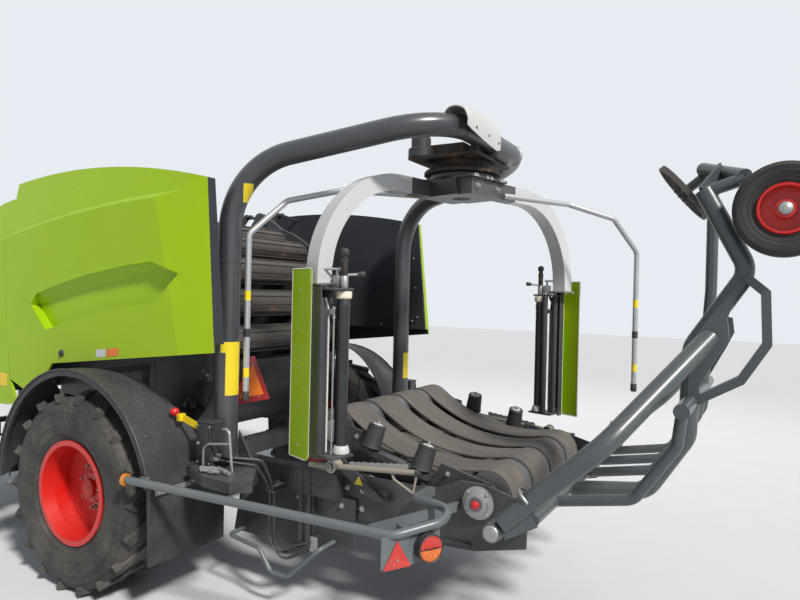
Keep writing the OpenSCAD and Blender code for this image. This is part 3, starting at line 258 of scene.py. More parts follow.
# Chassis
# Two long box rails with deep folded plates, outriggers for the arch and a drawbar, welded of plate
# and tube and sprayed dark grey. Dust lies on the ledges, and the paint is scratched along the edges.
def paint(name, colour, rough, coat, dust, *names, wear=0.0, worn=(0.30, 0.29, 0.27), marks=None,
          shine=0.5):
    """Sprayed paint: slightly uneven, scratched and chipped by wear, dusty, with a fine orange peel."""
    f = Finish(name, colour, rough, coat=coat, Specular_IOR_Level=shine, Coat_Roughness=0.24)
    tone = f.noise(1.7, 3.0).ramp(0.35, 0.7)
    f.layer(tone * 0.35, tuple(c * 0.86 for c in colour), rough + 0.06)
    if marks:
        marks(f)
    if wear:
        scratch = f.noise(46, 2.0, 0.5, stretch=(1, 1, 0.12)).ramp(0.66, 0.72)
        patch = f.noise(5, 4.0).ramp(0.55, 0.7)
        f.layer(scratch * patch * wear, worn, 0.45, 0.35)
        chips = f.noise(90, 2.0, 0.4).ramp(0.70, 0.73)
        f.layer(chips * wear, (0.16, 0.08, 0.045), 0.8)
    f.dust(dust)
    f.bump(f.noise(240, 2.0), 0.00012)
    return f.done(*names)


axle_x = 0.27
sides = (1, -1)
named_sides = ((1, "left"), (-1, "right"))
chassis_paint = paint("chassis_paint", (0.031, 0.034, 0.039), 0.46, 0.1, 0.38, "main_frame", "axle",
                      "drawbar", "gearbox", "table_frame", "pickup_frame", wear=0.5)


def spot(x, y, z):
    """A place measured in metres from the ground under the road axle: forwards, left and up."""
    return Vector((x + axle_x, y, z))


def ring_spot(x, y, z, r, a):
    """A place r from x and z, at the angle a on a circle that faces sideways."""
    return spot(x + r * math.cos(a), y, z + r * math.sin(a))


def along(way):
    """The turn that points a piece's Z along way."""
    return Vector(way).to_track_quat("Z", "Y").to_matrix().to_4x4()


def rod(bm, a, b, r, sides=16, r2=None):
    """A round bar, or a cone where r2 is given."""
    a, b = Vector(a), Vector(b)
    bmesh.ops.create_cone(bm, cap_ends=True, segments=sides, radius1=r, radius2=r if r2 is None else r2,
                          depth=(b - a).length, matrix=Matrix.Translation((a + b) / 2) @ along(b - a))


def block(bm, at, size, turn=None, edge=0.0):
    """A block with its edges broken by edge."""
    part = bmesh.new()
    place = Matrix.Translation(at) @ (turn or Matrix()) @ Matrix.Diagonal((*size, 1))
    bmesh.ops.create_cube(part, size=1, matrix=place)
    if edge:
        bmesh.ops.bevel(part, geom=part.edges[:], offset=edge, segments=2, profile=0.5,
                        affect="EDGES", material=-1)
    join(bm, part)


def bolt(bm, at, way, width):
    """A hexagon head on its washer, with the bolt's end showing; width is over the flats."""
    at, way = Vector(at), Vector(way).normalized()
    rod(bm, at, at + way * width * 0.14, width * 0.78, 14)
    rod(bm, at + way * width * 0.14, at + way * width * 0.62, width * 0.577, 6)
    rod(bm, at + way * width * 0.62, at + way * width * 0.72, width * 0.577, 6, width * 0.46)
    rod(bm, at + way * width * 0.70, at + way * width * 0.95, width * 0.28, 8)


def plate(bm, corners, way, thick):
    """A flat plate with corners in order, pushed thick along way."""
    face = bm.faces.new([bm.verts.new(c) for c in corners])
    made = bmesh.ops.extrude_face_region(bm, geom=[face])["geom"]
    moved = [v for v in made if isinstance(v, bmesh.types.BMVert)]
    bmesh.ops.translate(bm, verts=moved, vec=Vector(way).normalized() * thick)


def spun(profile, steps, angle=2 * math.pi):
    """A turned shape about Z; profile lists radius and height."""
    part = bmesh.new()
    verts = [part.verts.new((r, 0, h)) for r, h in profile]
    edges = [part.edges.new(pair) for pair in zip(verts, verts[1:])]
    bmesh.ops.spin(part, geom=verts + edges, cent=(0, 0, 0), axis=(0, 0, 1), angle=angle,
                   steps=steps, use_merge=angle > math.pi)
    bmesh.ops.remove_doubles(part, verts=part.verts, dist=1e-5)
    return part


def join(bm, part):
    """Adds part to bm."""
    mesh = bpy.data.meshes.new("part")
    part.to_mesh(mesh)
    part.free()
    bm.from_mesh(mesh)
    bpy.data.meshes.remove(mesh)


def lathe(bm, profile, at, way, sides=36):
    """A turned piece; profile lists radius and height along way."""
    part = spun(profile, sides)
    part.transform(Matrix.Translation(at) @ along(way))
    join(bm, part)


def bar(bm, points, r, sides=10, bend=0.03):
    """A round bar bent along points, as one tube swept by a curve."""
    curve = bpy.data.curves.new("bar", "CURVE")
    curve.dimensions = "3D"
    curve.bevel_depth = r
    curve.bevel_resolution = max(1, sides // 4 - 1)
    curve.use_fill_caps = True
    points = [Vector(p) for p in points]
    line = [points[0]]
    for before, at, after in zip(points, points[1:], points[2:]):
        a, b = (before - at), (after - at)
        reach = min(bend, a.length * 0.45, b.length * 0.45)
        start, end = at + a.normalized() * reach, at + b.normalized() * reach
        for i in range(5):
            t = i / 4
            line.append(start * (1 - t) ** 2 + at * 2 * t * (1 - t) + end * t ** 2)
    line.append(points[-1])
    spline = curve.splines.new("POLY")
    spline.points.add(len(line) - 1)
    for place, at in zip(spline.points, line):
        place.co = (*at, 1)
    obj = bpy.data.objects.new("bar", curve)
    scene.collection.objects.link(obj)
    mesh = bpy.data.meshes.new_from_object(obj.evaluated_get(bpy.context.evaluated_depsgraph_get()))
    bm.from_mesh(mesh)
    bpy.data.objects.remove(obj)
    bpy.data.meshes.remove(mesh)


def piece(name, bm, material, body, crease=35):
    """Turns a bmesh into a piece with its faces outwards, which rides on body."""
    # spin and extrude list their side faces in a new order each run, so they are sorted by vertices
    bm.verts.index_update()
    in_order = sorted(bm.faces, key=lambda face: sorted(v.index for v in face.verts))
    rank = {face: i for i, face in enumerate(in_order)}
    bm.faces.sort(key=rank.get)
    bmesh.ops.recalc_face_normals(bm, faces=bm.faces)
    mesh = bpy.data.meshes.new(name)
    bm.to_mesh(mesh)
    bm.free()
    mesh.polygons.foreach_set("use_smooth", [True] * len(mesh.polygons))
    mesh.set_sharp_from_angle(angle=math.radians(crease))
    mesh.materials.append(material)
    obj = bpy.data.objects.new(name, mesh)
    scene.collection.objects.link(obj)
    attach(obj, body)
    return obj


def steel(name, colour, rust, *names, rough=0.42, dust=0.4, drawn=(1, 1, 1)):
    """Bare or plated steel with patches of rust; drawn stretches its grain."""
    f = Finish(name, colour, rough, metallic=0.85)
    f.layer(f.noise(60, 3.0, 0.6, stretch=drawn) * 0.6, tuple(c * 0.6 for c in colour), rough + 0.18)
    cloud = f.noise(7, 6.0, 0.7).ramp(0.62 - rust * 0.4, 0.86 - rust * 0.3)
    grain = f.noise(70, 3.0, 0.7)
    ruddy = f.mix(grain.ramp(0.3, 0.7), (0.13, 0.042, 0.018), (0.30, 0.12, 0.05))
    f.layer(cloud, ruddy, 0.88, 0.05)
    f.dust(dust)
    f.bump(grain * cloud, 0.0006)
    return f.done(*names)


zinc_steel = steel("zinc_steel", (0.43, 0.435, 0.42), 0.05, "stand_leg")

# Arch feet: a flange and two webs weld each arch leg to its outrigger, with four bolts through it.
leg_x, leg_y, flange_z, web = -0.85, 0.98, 0.8305, 0.012
bm = bmesh.new()
for s in sides:
    block(bm, spot(leg_x, s * leg_y, 0.8365), (0.205, 0.205, web), edge=0.003)
    for y, way, outline in (
            (0.935, s, ((-0.914, 0.995), (-1.02, flange_z), (-0.914, flange_z))),
            (0.945, -s, ((-0.914, flange_z), (-1.02, flange_z), (-1.02, 0.66), (-0.9503, 0.60),
                         (-0.9503, flange_z))),
            (0.986, -s, ((-0.786, 0.96), (-0.745, flange_z), (-0.786, flange_z)))):
        plate(bm, [spot(x, s * y, z) for x, z in outline], (0, way, 0), web)
piece("arch_feet", bm, chassis_paint, "chassis")
bm = bmesh.new()
for s in sides:
    for x, y in ((-0.93, 0.90), (-0.93, 1.06), (-0.77, 0.90), (-0.77, 1.06)):
        bolt(bm, spot(x, s * y, 0.8425), (0, 0, 1), 0.024)
    for x in (-0.80, -0.90):
        bolt(bm, spot(x, s * 1.1552, 0.745), (0, s, 0), 0.024)
piece("arch_foot_bolts", bm, zinc_steel, "chassis")

# Rear side plates: rows of bolts, a welded doubling strip and the folded lips of the deep plates.
rear_plate_y = 0.7242
bm = bmesh.new()
for s in sides:
    for x in (-1.262, -1.318):
        lip_x = (x - 0.006, x + 0.020)
        plate(bm, [spot(x, s * 0.8003, z) for x, z in zip(lip_x + lip_x[::-1], (0.352, 0.352, 0.798, 0.798))],
              (0, s, 0), 0.004)
    plate(bm, [spot(x, s * rear_plate_y, z) for x, z in
               ((-1.32, 0.52), (-2.26, 0.556), (-2.26, 0.568), (-1.32, 0.532))], (0, s, 0), 0.016)
piece("side_plate_strips", bm, chassis_paint, "chassis")
bm = bmesh.new()
for s in sides:
    for x, z in ((-1.52, 0.62), (-1.52, 0.72), (-1.62, 0.62), (-1.62, 0.72), (-1.95, 0.62), (-2.08, 0.66),
                 (-2.42, 0.66), (-2.48, 0.70)):
        bolt(bm, spot(x, s * rear_plate_y, z), (0, s, 0), 0.022)
    for x in (-0.78, -1.0, -1.2, -1.5):
        bolt(bm, spot(x, s * 0.7472, 0.62), (0, s, 0), 0.02)
    for x in (0.68, 0.74, 1.08, 1.14, 0.2, 0.0, -0.2):
        bolt(bm, spot(x, s * 0.8002, 0.73), (0, s, 0), 0.022)
piece("frame_bolts", bm, zinc_steel, "chassis")

# Drum bearings: flanged cast housings on the rear side plates, with a red cap and four bolts.
drum_x, drum_z = -2.3, 0.78
bm = bmesh.new()
for s in sides:
    lathe(bm, [(0.0345, 0.0005), (0.081, 0.0005), (0.081, 0.004), (0.070, 0.007), (0.0585, 0.012),
               (0.0565, 0.031), (0.050, 0.034), (0.0345, 0.034)], spot(drum_x, s * 0.7381, drum_z), (0, s, 0))
    for a in range(45, 360, 90):
        bolt(bm, ring_spot(drum_x, s * 0.7445, drum_z, 0.068, math.radians(a)), (0, s, 0), 0.017)
piece("drum_bearings", bm, zinc_steel, "chassis")


def gloss(name, colour, rough=0.3, coat=0.3, dust=0.25, wear=0.0):
    """Paint or film on small pieces that are new with the script, so on no CAD node."""
    return paint(name, colour, rough, coat, dust, wear=wear)


red_paint = paint("red_paint", (0.58, 0.012, 0.008), 0.32, 0.2, 0.14, "left_rim", "right_rim", "turner_rim",
                  wear=0.2)
bm = bmesh.new()
for s in sides:
    lathe(bm, [(0, 0.020), (0.010, 0.019), (0.018, 0.015), (0.021, 0.008), (0.021, 0.0006), (0, 0.0006)],
          spot(drum_x, s * 0.774, drum_z), (0, s, 0))
piece("drum_bearing_caps", bm, red_paint, "table")


# Road wheels
# Dished red steel rims on eight-bolt hubs, with wide cleated tyres whose sides carry moulded rings.
# Dried mud sits between the cleats.
def tyre(name, *names, centre, rings=(), mud=1.0):
    """Rubber with dried mud, and moulded rings of those radii about the hub at centre."""
    f = Finish(name, (0.020, 0.0195, 0.019), 0.78)
    f.layer(f.noise(9, 5.0, 0.7).ramp(0.4, 0.72) * 0.75 * mud, (0.078, 0.072, 0.062), 0.92)
    f.layer(f.noise(2.5, 3.0).ramp(0.45, 0.7) * 0.45 * mud, (0.125, 0.113, 0.096), 0.95)
    x, z = f.axis("X") - centre[0], f.axis("Z") - centre[1]
    out_from_hub = (x * x + z * z) ** 0.5
    for ring in rings:
        f.bump(1.0 - abs(out_from_hub - ring).ramp(0.0015, 0.004), 0.004)
    f.bump(f.noise(130, 3.0, 0.7), 0.0012)
    f.dust(0.45 * mud, (0.22, 0.20, 0.17))
    return f.done(*names)


wheel_z, hub_y = 0.585, 1.2345
tyre_rubber = tyre("tyre_rubber", "left_tyre", "right_tyre", centre=(axle_x, wheel_z),
                   rings=(0.325, 0.345, 0.392, 0.47, 0.478, 0.52))
tyre("gauge_rubber", "left_gauge_wheel", "right_gauge_wheel", centre=(1.89, 0.345), rings=(0.09, 0.12, 0.165))

for s, side in named_sides:
    bm = bmesh.new()
    for i in range(8):
        at = ring_spot(0, s * 1.1745, wheel_z, 0.135, math.radians(i * 45 + 11))
        lathe(bm, [(0, 0), (0.021, 0), (0.021, 0.005), (0.017, 0.007), (0, 0.007)], at, (0, s, 0), 16)
        rod(bm, at + Vector((0, s * 0.006, 0)), at + Vector((0, s * 0.024, 0)), 0.0165, 6)
        rod(bm, at + Vector((0, s * 0.024, 0)), at + Vector((0, s * 0.044, 0)), 0.0085, 10)
    for i in range(6):
        bolt(bm, ring_spot(0, s * 1.2344, wheel_z, 0.071, math.radians(i * 60)), (0, s, 0), 0.014)
    piece(side + "_wheel_nuts", bm, zinc_steel, side + "_wheel")
    bm = bmesh.new()
    lathe(bm, [(0.0552, 0.002), (0.0552, 0.020), (0.052, 0.027), (0.040, 0.034), (0.018, 0.037), (0, 0.037)],
          spot(0, s * hub_y, wheel_z), (0, s, 0))
    lathe(bm, [(0.090, -0.016), (0.0915, -0.010), (0.0915, 0.000), (0.0885, 0.0035), (0.056, 0.0035)],
          spot(0, s * hub_y, wheel_z), (0, s, 0))
    piece(side + "_hub_cap", bm, red_paint, side + "_wheel")
    bm = bmesh.new()
    a = math.radians(100)
    foot = ring_spot(0, s * 1.197, wheel_z, 0.222, a)
    tip = foot + Vector((0.012 * math.cos(a), s * 0.052, 0.012 * math.sin(a)))
    rod(bm, foot, foot + (tip - foot) * 0.3, 0.0085, 12)
    rod(bm, foot + (tip - foot) * 0.3, tip, 0.0045, 10)
    rod(bm, foot + (tip - foot) * 0.72, tip + (tip - foot) * 0.05, 0.0060, 10)
    piece(side + "_valve", bm, tyre_rubber, side + "_wheel")


# Fenders
# Black moulded arches with a rolled lip, riveted to a stay from the rail. A rubber flap hangs behind
# each under a zinc strip with five bolts.
def plastic(name, colour, rough, dust, *names, grain=0.0003):
    """Moulded plastic or rubber, paler where it is worn, with a fine grain."""
    f = Finish(name, colour, rough)
    f.layer(f.noise(4, 4.0).ramp(0.3, 0.75) * 0.5, tuple(c * 1.7 + 0.004 for c in colour), rough + 0.12)
    f.bump(f.noise(420, 2.0, 0.6), grain)
    f.dust(dust)
    return f.done(*names)


black_plastic = plastic("black_plastic", (0.020, 0.021, 0.022), 0.5, 0.30, "fenders", "control_box",
                        "side_cones")
fender_x, fender_r = -0.015, 0.7255
bm = bmesh.new()
for s in sides:
    bar(bm, [ring_spot(fender_x, s * 1.4015, wheel_z, fender_r, math.radians(a)) for a in range(1, 168, 6)],
        0.0065, 12, bend=0.01)
    for a in (20, 62, 104, 146):
        out_way = Vector((math.cos(math.radians(a)), 0, math.sin(math.radians(a))))
        at = spot(fender_x, s * 1.33, wheel_z) + out_way * fender_r
        lathe(bm, [(0.016, 0), (0.016, 0.0015), (0.009, 0.005), (0, 0.006)], at, out_way, 16)
piece("fender_lips", bm, black_plastic, "chassis")
bm = bmesh.new()
for s in sides:
    plate(bm, [spot(-0.7605, s * y, z) for y, z in
               ((0.91, 0.706), (1.385, 0.706), (1.385, 0.736), (0.91, 0.736))], (-1, 0, 0), 0.003)
    for y in (0.96, 1.06, 1.16, 1.26, 1.35):
        bolt(bm, spot(-0.7637, s * y, 0.721), (-1, 0, 0), 0.013)
piece("flap_strips", bm, zinc_steel, "chassis")


# Bumper and lamps
# A grey tube runs outside each wheel and bends in behind the frame. Inside it a slanted plate carries
# a round two-colour lamp and a red triangle with a pale edge.
paint("blue_grey_paint", (0.105, 0.125, 0.135), 0.38, 0.2, 0.35, "guard_rails", wear=0.6,
      worn=(0.34, 0.35, 0.34))
plastic("hose_rubber", (0.016, 0.016, 0.017), 0.42, 0.45, "rear_hoses", grain=0.0004)
cast_yellow = gloss("yellow_paint", (0.80, 0.56, 0.01), 0.4, 0.2, 0.3, wear=0.15)


def lens(name, colour, *names, marks=None):
    """Clear coloured plastic over small facets."""
    f = Finish(name, colour, 0.22, coat=0.5)
    honeycomb = f.cells(95)
    if marks:
        marks(f)
    f.layer(honeycomb.ramp(0.35, 0.6) * 0.35, (0.12, 0.02, 0.004), 0.35)
    f.bump(honeycomb, 0.0012)
    f.dust(0.3)
    return f.done(*names)


lamp_turn = math.radians(-30)


def lamp_place(s, x, y, z):
    """A place on the lamp plate of side s: x out of it, y outwards along it and z up."""
    out_x = x * math.cos(lamp_turn) - y * math.sin(lamp_turn)
    out_y = x * math.sin(lamp_turn) + y * math.cos(lamp_turn)
    return spot(-2.16 + out_x, s * (1.15 + out_y), 0.665 + z)


def lamp_way(s):
    """The way that the lamp plate of side s faces."""
    return Vector((-math.cos(lamp_turn), -s * math.sin(lamp_turn), 0))


def front_amber(f):
    """The discs on the front of the bumper are amber, and the rear ones red."""
    f.layer(f.axis("X") > -1.2, (0.78, 0.24, 0.008), 0.25)


lens("signal_red", (0.62, 0.016, 0.012), "tail_lamps", "reflectors", marks=front_amber)
signal_amber = lens("signal_amber", (0.80, 0.17, 0.008))
bm = bmesh.new()
for s in sides:
    half = spun([(0, 0.013), (0.024, 0.012), (0.044, 0.008), (0.055, 0.002), (0.057, 0.0004)], 20, math.pi)
    z_way = lamp_way(s)
    x_way = Vector((0, 0, 1)).cross(z_way)
    place = Matrix((x_way * -s, Vector((0, 0, 1)), z_way)).transposed().to_4x4()
    place.translation = lamp_place(s, -0.046, -0.076, 0)
    half.transform(place @ Matrix.Rotation(math.radians(180), 4, "Z"))
    join(bm, half)
piece("lamp_amber_halves", bm, signal_amber, "chassis")
bm = bmesh.new()
for s in sides:
    way = lamp_way(s)
    lathe(bm, [(0.0605, -0.045), (0.0635, -0.045), (0.0635, 0.002), (0.0605, 0.005), (0.0575, 0.002)],
          lamp_place(s, -0.046, -0.076, 0), way, 32)
    block(bm, lamp_place(s, -0.050, -0.076, 0), (0.003, 0.112, 0.004),
          Matrix.Rotation(lamp_turn * s, 4, "Z"))
piece("lamp_rings", bm, black_plastic, "chassis")
pale_edge = gloss("pale_edge", (0.62, 0.60, 0.55), 0.5, 0.1, 0.3)
bm = bmesh.new()
for s in sides:
    bolt(bm, lamp_place(s, -0.0056, 0.072, -0.040), lamp_way(s), 0.008)
    start, end = spot(-1.978, s * 1.22, 0.728), spot(-2.19, s * 0.7323, 0.742)
    out_way = (end - start).cross(Vector((0, 0, 1))) * -s
    out_way.z = 0
    for x in (-2.02, -2.075, -2.13, -2.165):
        at = start + (end - start) * ((x + 1.978) / (-2.19 + 1.978))
        bolt(bm, at + out_way.normalized() * 0.0052, out_way, 0.016)
piece("bumper_bolts", bm, zinc_steel, "chassis")

# Hose clips: folded zinc strips with two bolts each hold the three hoses to the rail and the deep
# plate, and hexagon fittings screw them to the left control box.
bm = bmesh.new()
block(bm, spot(-1.118, 0.852, 0.7035), (0.064, 0.10, 0.003), edge=0.0008)
block(bm, spot(-1.118, 0.852, 0.6705), (0.064, 0.10, 0.003), edge=0.0008)
for y in (0.832, 0.872):
    bolt(bm, spot(-1.118, y, 0.705), (0, 0, 1), 0.013)
block(bm, spot(-1.35, 0.7985, 0.389), (0.052, 0.003, 0.086), edge=0.0008)
for x, z in ((-1.367, 0.42), (-1.333, 0.358)):
    bolt(bm, spot(x, 0.80, z), (0, 1, 0), 0.011)
for y, z in ((1.076, 0.868), (1.102, 0.884), (1.124, 0.868)):
    rod(bm, spot(-0.9108, y, z), spot(-0.930, y, z), 0.0125, 6)
    rod(bm, spot(-0.930, y, z), spot(-0.948, y, z), 0.0108, 14)
piece("hose_clips", bm, zinc_steel, "chassis")

# Shelf behind the left arch leg: a folded plate under the hose couplings, with a bent grab bar.
shelf_z = 0.8195
bm = bmesh.new()
rim_line = [(-0.80, 1.157), (-0.80, 1.20), (-1.006, 1.29), (-1.198, 1.305), (-1.283, 1.225), (-1.15, 1.05),
            (-1.06, 1.02), (-0.9508, 1.02), (-0.9508, 1.157)]
plate(bm, [spot(x, y, 0.820) for x, y in rim_line], (0, 0, 1), 0.009)
for a, b in zip(rim_line[1:4], rim_line[2:5]):
    plate(bm, [spot(*a, shelf_z), spot(*b, shelf_z), spot(*b, 0.778), spot(*a, 0.778)],
          Vector((b[1] - a[1], a[0] - b[0], 0)), 0.006)
plate(bm, [spot(-0.94, 1.1555, shelf_z), spot(-0.76, 1.1555, shelf_z), spot(-0.76, 1.1555, 0.68)],
      (0, 1, 0), 0.006)
piece("hose_shelf", bm, chassis_paint, "chassis")
bm = bmesh.new()
bar(bm, [spot(-1.07, 1.15, 0.8285), spot(-1.045, 1.15, 1.035), spot(-1.02, 1.15, 1.05),
         spot(-1.0, 1.15, 1.045)], 0.0075, 12, bend=0.02)
bar(bm, [spot(-1.052, 1.157, 0.975), spot(-0.90, 1.157, 0.955), spot(-0.862, 1.157, 0.93),
         spot(-0.862, 1.157, 0.8285)], 0.007, 12, bend=0.03)
for x, y, turn_deg in ((-1.0, 1.20, 20), (-1.03, 1.235, 8), (-1.09, 1.21, -15)):
    t = math.radians(turn_deg)
    way = Vector((math.cos(t), math.sin(t), 0))
    at = spot(x, y, 0.8295 + 0.0145)
    rod(bm, at, at + way * 0.034, 0.0145, 6)
    rod(bm, at + way * 0.034, at + way * 0.075, 0.0125, 16)
    rod(bm, at - way * 0.03, at, 0.011, 14)
    rod(bm, at + way * 0.075, at + way * 0.084, 0.0135, 16)
piece("hose_couplings", bm, zinc_steel, "chassis")

# Control boxes at the feet of the arch: moulded lids with four screws, a hinge and a quarter-turn lock.
box_x = -0.855
bm = bmesh.new()
for s in sides:
    block(bm, spot(box_x, s * 1.1495, 0.945), (0.106, 0.006, 0.224), edge=0.0025)
    block(bm, spot(box_x, s * 1.1545, 0.950), (0.078, 0.005, 0.150), edge=0.002)
    for z in (0.865, 0.985):
        rod(bm, spot(-0.905, s * 1.153, z), spot(-0.905, s * 1.153, z + 0.040), 0.005, 10)
    block(bm, spot(box_x, s * 1.101, 1.0635), (0.118, 0.098, 0.006), edge=0.0022)
piece("control_box_lids", bm, black_plastic, "chassis")
bm = bmesh.new()
for s in sides:
    for x in (-0.900, -0.810):
        for z in (0.845, 1.045):
            lathe(bm, [(0, 0.0035), (0.004, 0.003), (0.0055, 0.001), (0.0055, 0)], spot(x, s * 1.1526, z),
                  (0, s, 0), 12)
    lathe(bm, [(0, 0.006), (0.008, 0.006), (0.010, 0.004), (0.010, 0)], spot(-0.820, s * 1.157, 0.95),
          (0, s, 0), 20)
piece("control_box_screws", bm, zinc_steel, "chassis")

# Turning knob for the table valve: a red ball grip on a bent yellow bracket, bolted to the left box.
bm = bmesh.new()
plate(bm, [spot(-0.799, 1.125, 1.005), spot(-0.799, 1.125, 1.045), spot(-0.655, 1.125, 1.085),
           spot(-0.655, 1.125, 1.045)], (0, -1, 0), 0.005)
block(bm, spot(-0.642, 1.1225, 1.0655), (0.030, 0.042, 0.042), edge=0.004)
piece("knob_bracket", bm, cast_yellow, "chassis")
bm = bmesh.new()
lathe(bm, [(0, 0.048), (0.012, 0.047), (0.021, 0.041), (0.026, 0.031), (0.026, 0.021), (0.021, 0.011),
           (0.012, 0.006), (0.009, 0.0), (0, 0)], spot(-0.600, 1.1225, 1.068), (0.3, 0.2, 0.9), 24)
rod(bm, spot(-0.628, 1.1225, 1.0655), spot(-0.598, 1.1235, 1.0705), 0.008, 14)
piece("red_knob", bm, red_paint, "chassis")


# Baling chamber
# Plate walls with bolted bearing housings at the roller ends, ribbed rollers polished by the crop,
# and a tailgate of the same build that swings up about two pins.
dark_sheet = paint("dark_sheet", (0.030, 0.033, 0.038), 0.42, 0.15, 0.3, "chamber_walls", "front_cover",
                   "tailgate_walls", "tailgate_plate", "rotor_hub", wear=0.3)
steel("roller_steel", (0.125, 0.112, 0.100), 0.22, "front_rollers", "tailgate_rollers", rough=0.5,
      drawn=(1, 0.04, 1))
chamber_x, chamber_z, roller_ring = 0.36, 1.52, 0.723
for body, angles in (("chassis", [85 - i * 20 for i in (0, 1, 2, 3, 4, 5, 7, 8, 9)]),
                     ("tailgate", [105 + i * 20 for i in range(8)])):
    housings, bolts = bmesh.new(), bmesh.new()
    for s in sides:
        for angle in angles:
            a = math.radians(angle)
            x, z = chamber_x + roller_ring * math.cos(a), chamber_z + roller_ring * math.sin(a)
            lathe(housings, [(0.052, 0), (0.052, 0.008), (0.038, 0.014), (0.034, 0.028), (0.030, 0.030),
                             (0, 0.030)], spot(x, s * 0.6204, z), (0, s, 0), 24)
            for k in range(4):
                b = a + math.radians(45 + 90 * k)
                bolt(bolts, ring_spot(x, s * 0.6284, z, 0.045, b), (0, s, 0), 0.010)
    piece(body + "_roller_housings", housings, dark_sheet, body)
    piece(body + "_housing_bolts", bolts, zinc_steel, body)

# Vehicle sign: a fluorescent orange triangle with cut corners and a dark red reflecting border,
# riveted to the rear plate.
half_base, run, rise, border = 0.180, 0.16, 0.31, 0.040
sign = Finish("signal_orange", (0.90, 0.20, 0.008), 0.45, coat=0.2)
from_middle, above_base = abs(sign.axis("Y") - 0.4), sign.axis("Z") - 1.16 + 0.12
from_side = ((half_base - from_middle) * rise - above_base * run) / 0.349
sign.layer(from_side.low(above_base) < border, (0.34, 0.012, 0.014), 0.3)
sign.bump(sign.cells(160), 0.0006)
sign.dust(0.25)
sign.done("vehicle_sign")
bm = bmesh.new()
for y, z in ((0.40, 1.08), (0.34, 1.07), (0.46, 1.07), (0.40, 1.30)):
    bolt(bm, spot(-0.4985, y, z), (-1, 0, 0), 0.009)
piece("sign_rivets", bm, zinc_steel, "tailgate")

# Tailgate catches: a bent flat arm on each side wall, with its pin and a locking cam.
bm = bmesh.new()
for s in sides:
    plate(bm, [spot(x, s * 0.6222, z) for x, z in
               ((-0.30, 1.02), (-0.36, 1.20), (-0.33, 1.50), (-0.28, 1.50), (-0.31, 1.20), (-0.25, 1.04))],
          (0, s, 0), 0.012)
    lathe(bm, [(0, 0.03), (0.022, 0.03), (0.026, 0.026), (0.026, 0)],
          spot(-0.335, s * 0.634, 1.20), (0, s, 0), 24)
    lathe(bm, [(0, 0.024), (0.016, 0.024), (0.018, 0.020), (0.018, 0)],
          spot(-0.305, s * 0.634, 1.47), (0, s, 0), 20)
piece("tailgate_catches", bm, chassis_paint, "tailgate")


# Side panels
# Pressed sheets in lime gloss on hinges under the top edge. A dark sheet lines them, so only the
# outer skin is lime, and small plain plates are stuck on the outside.
panel_y = 1.25
lime = (0.315, 0.49, 0.002)


def lining(f):
    """The dark sheet behind each skin, and the left panel's dark strip at its rear edge."""
    y = abs(f.axis("Y"))
    inward = (f.facing("Y") * f.axis("Y")) < -0.12
    rear = (f.facing("X") < -0.86) * (y < 1.215) * (f.axis("X") < -0.35) * (f.axis("Y") > 0)
    inner = (y < 1.165).high(rear).high(inward)
    f.layer(inner, (0.036, 0.040, 0.046), 0.5, coat=0.0)


lime_gloss = paint("lime_gloss", lime, 0.27, 0.2, 0.10, "left_side_panel", "right_side_panel", "front_panels",
                   marks=lining, shine=0.15)
silver_film = gloss("silver_film", (0.55, 0.56, 0.57), 0.35, 0.3, 0.15)
orange_film = gloss("orange_film", (0.72, 0.16, 0.01), 0.4, 0.2, 0.15)


def lower_edge(x):
    """The height of a side panel's lower edge, which kinks over the wheel."""
    return 1.457 + 0.12314 * max(0, -0.787 - x) - 0.1105 * max(0, x + 0.787)


def label(bm, corners, way):
    """A thin plate stuck on flat, with corners in order."""
    plate(bm, [Vector(c) + Vector(way) * 0.0006 for c in corners], way, 0.0009)


for s, side in named_sides:
    for name, film, body, outline in (
            ("_silver_plate", silver_film, side + "_panel",
             ((-0.045, 1.372), (-0.135, 1.383), (-0.135, 1.428), (-0.045, 1.417))),
            ("_orange_plate", orange_film, side + "_panel",
             ((-0.145, 1.384), (-0.255, 1.397), (-0.255, 1.442), (-0.145, 1.429))),
            ("_front_plate", cast_yellow, "chassis",
             ((0.995, 1.20), (0.905, 1.20), (0.905, 1.115), (0.995, 1.115)))):
        bm = bmesh.new()
        label(bm, [spot(x, s * panel_y, z) for x, z in outline], (0, s, 0))
        piece(side + name, bm, film, body)
    bm = bmesh.new()
    for x in (-0.86, -0.55, -0.20, 0.15, 0.50):
        bolt(bm, spot(x, s * 1.1435, lower_edge(x) + 0.10), (0, -s, 0), 0.014)
    for z in (1.60, 1.85, 2.10, 2.30):
        bolt(bm, spot(-0.955 + (z - 1.458) * 0.098 + 0.03, s * 1.1435, z), (0, -s, 0), 0.014)
    piece(side + "_lining_bolts", bm, zinc_steel, side + "_panel")
    bm = bmesh.new()
    lathe(bm, [(0, 0.010), (0.012, 0.010), (0.020, 0.008), (0.024, 0.003), (0.024, 0)],
          spot(0.30, s * panel_y, 1.375), (0, s, 0), 28)
    block(bm, spot(0.30, s * 1.2605, 1.375), (0.008, 0.010, 0.034), edge=0.003)
    piece(side + "_panel_lock", bm, black_plastic, side + "_panel")


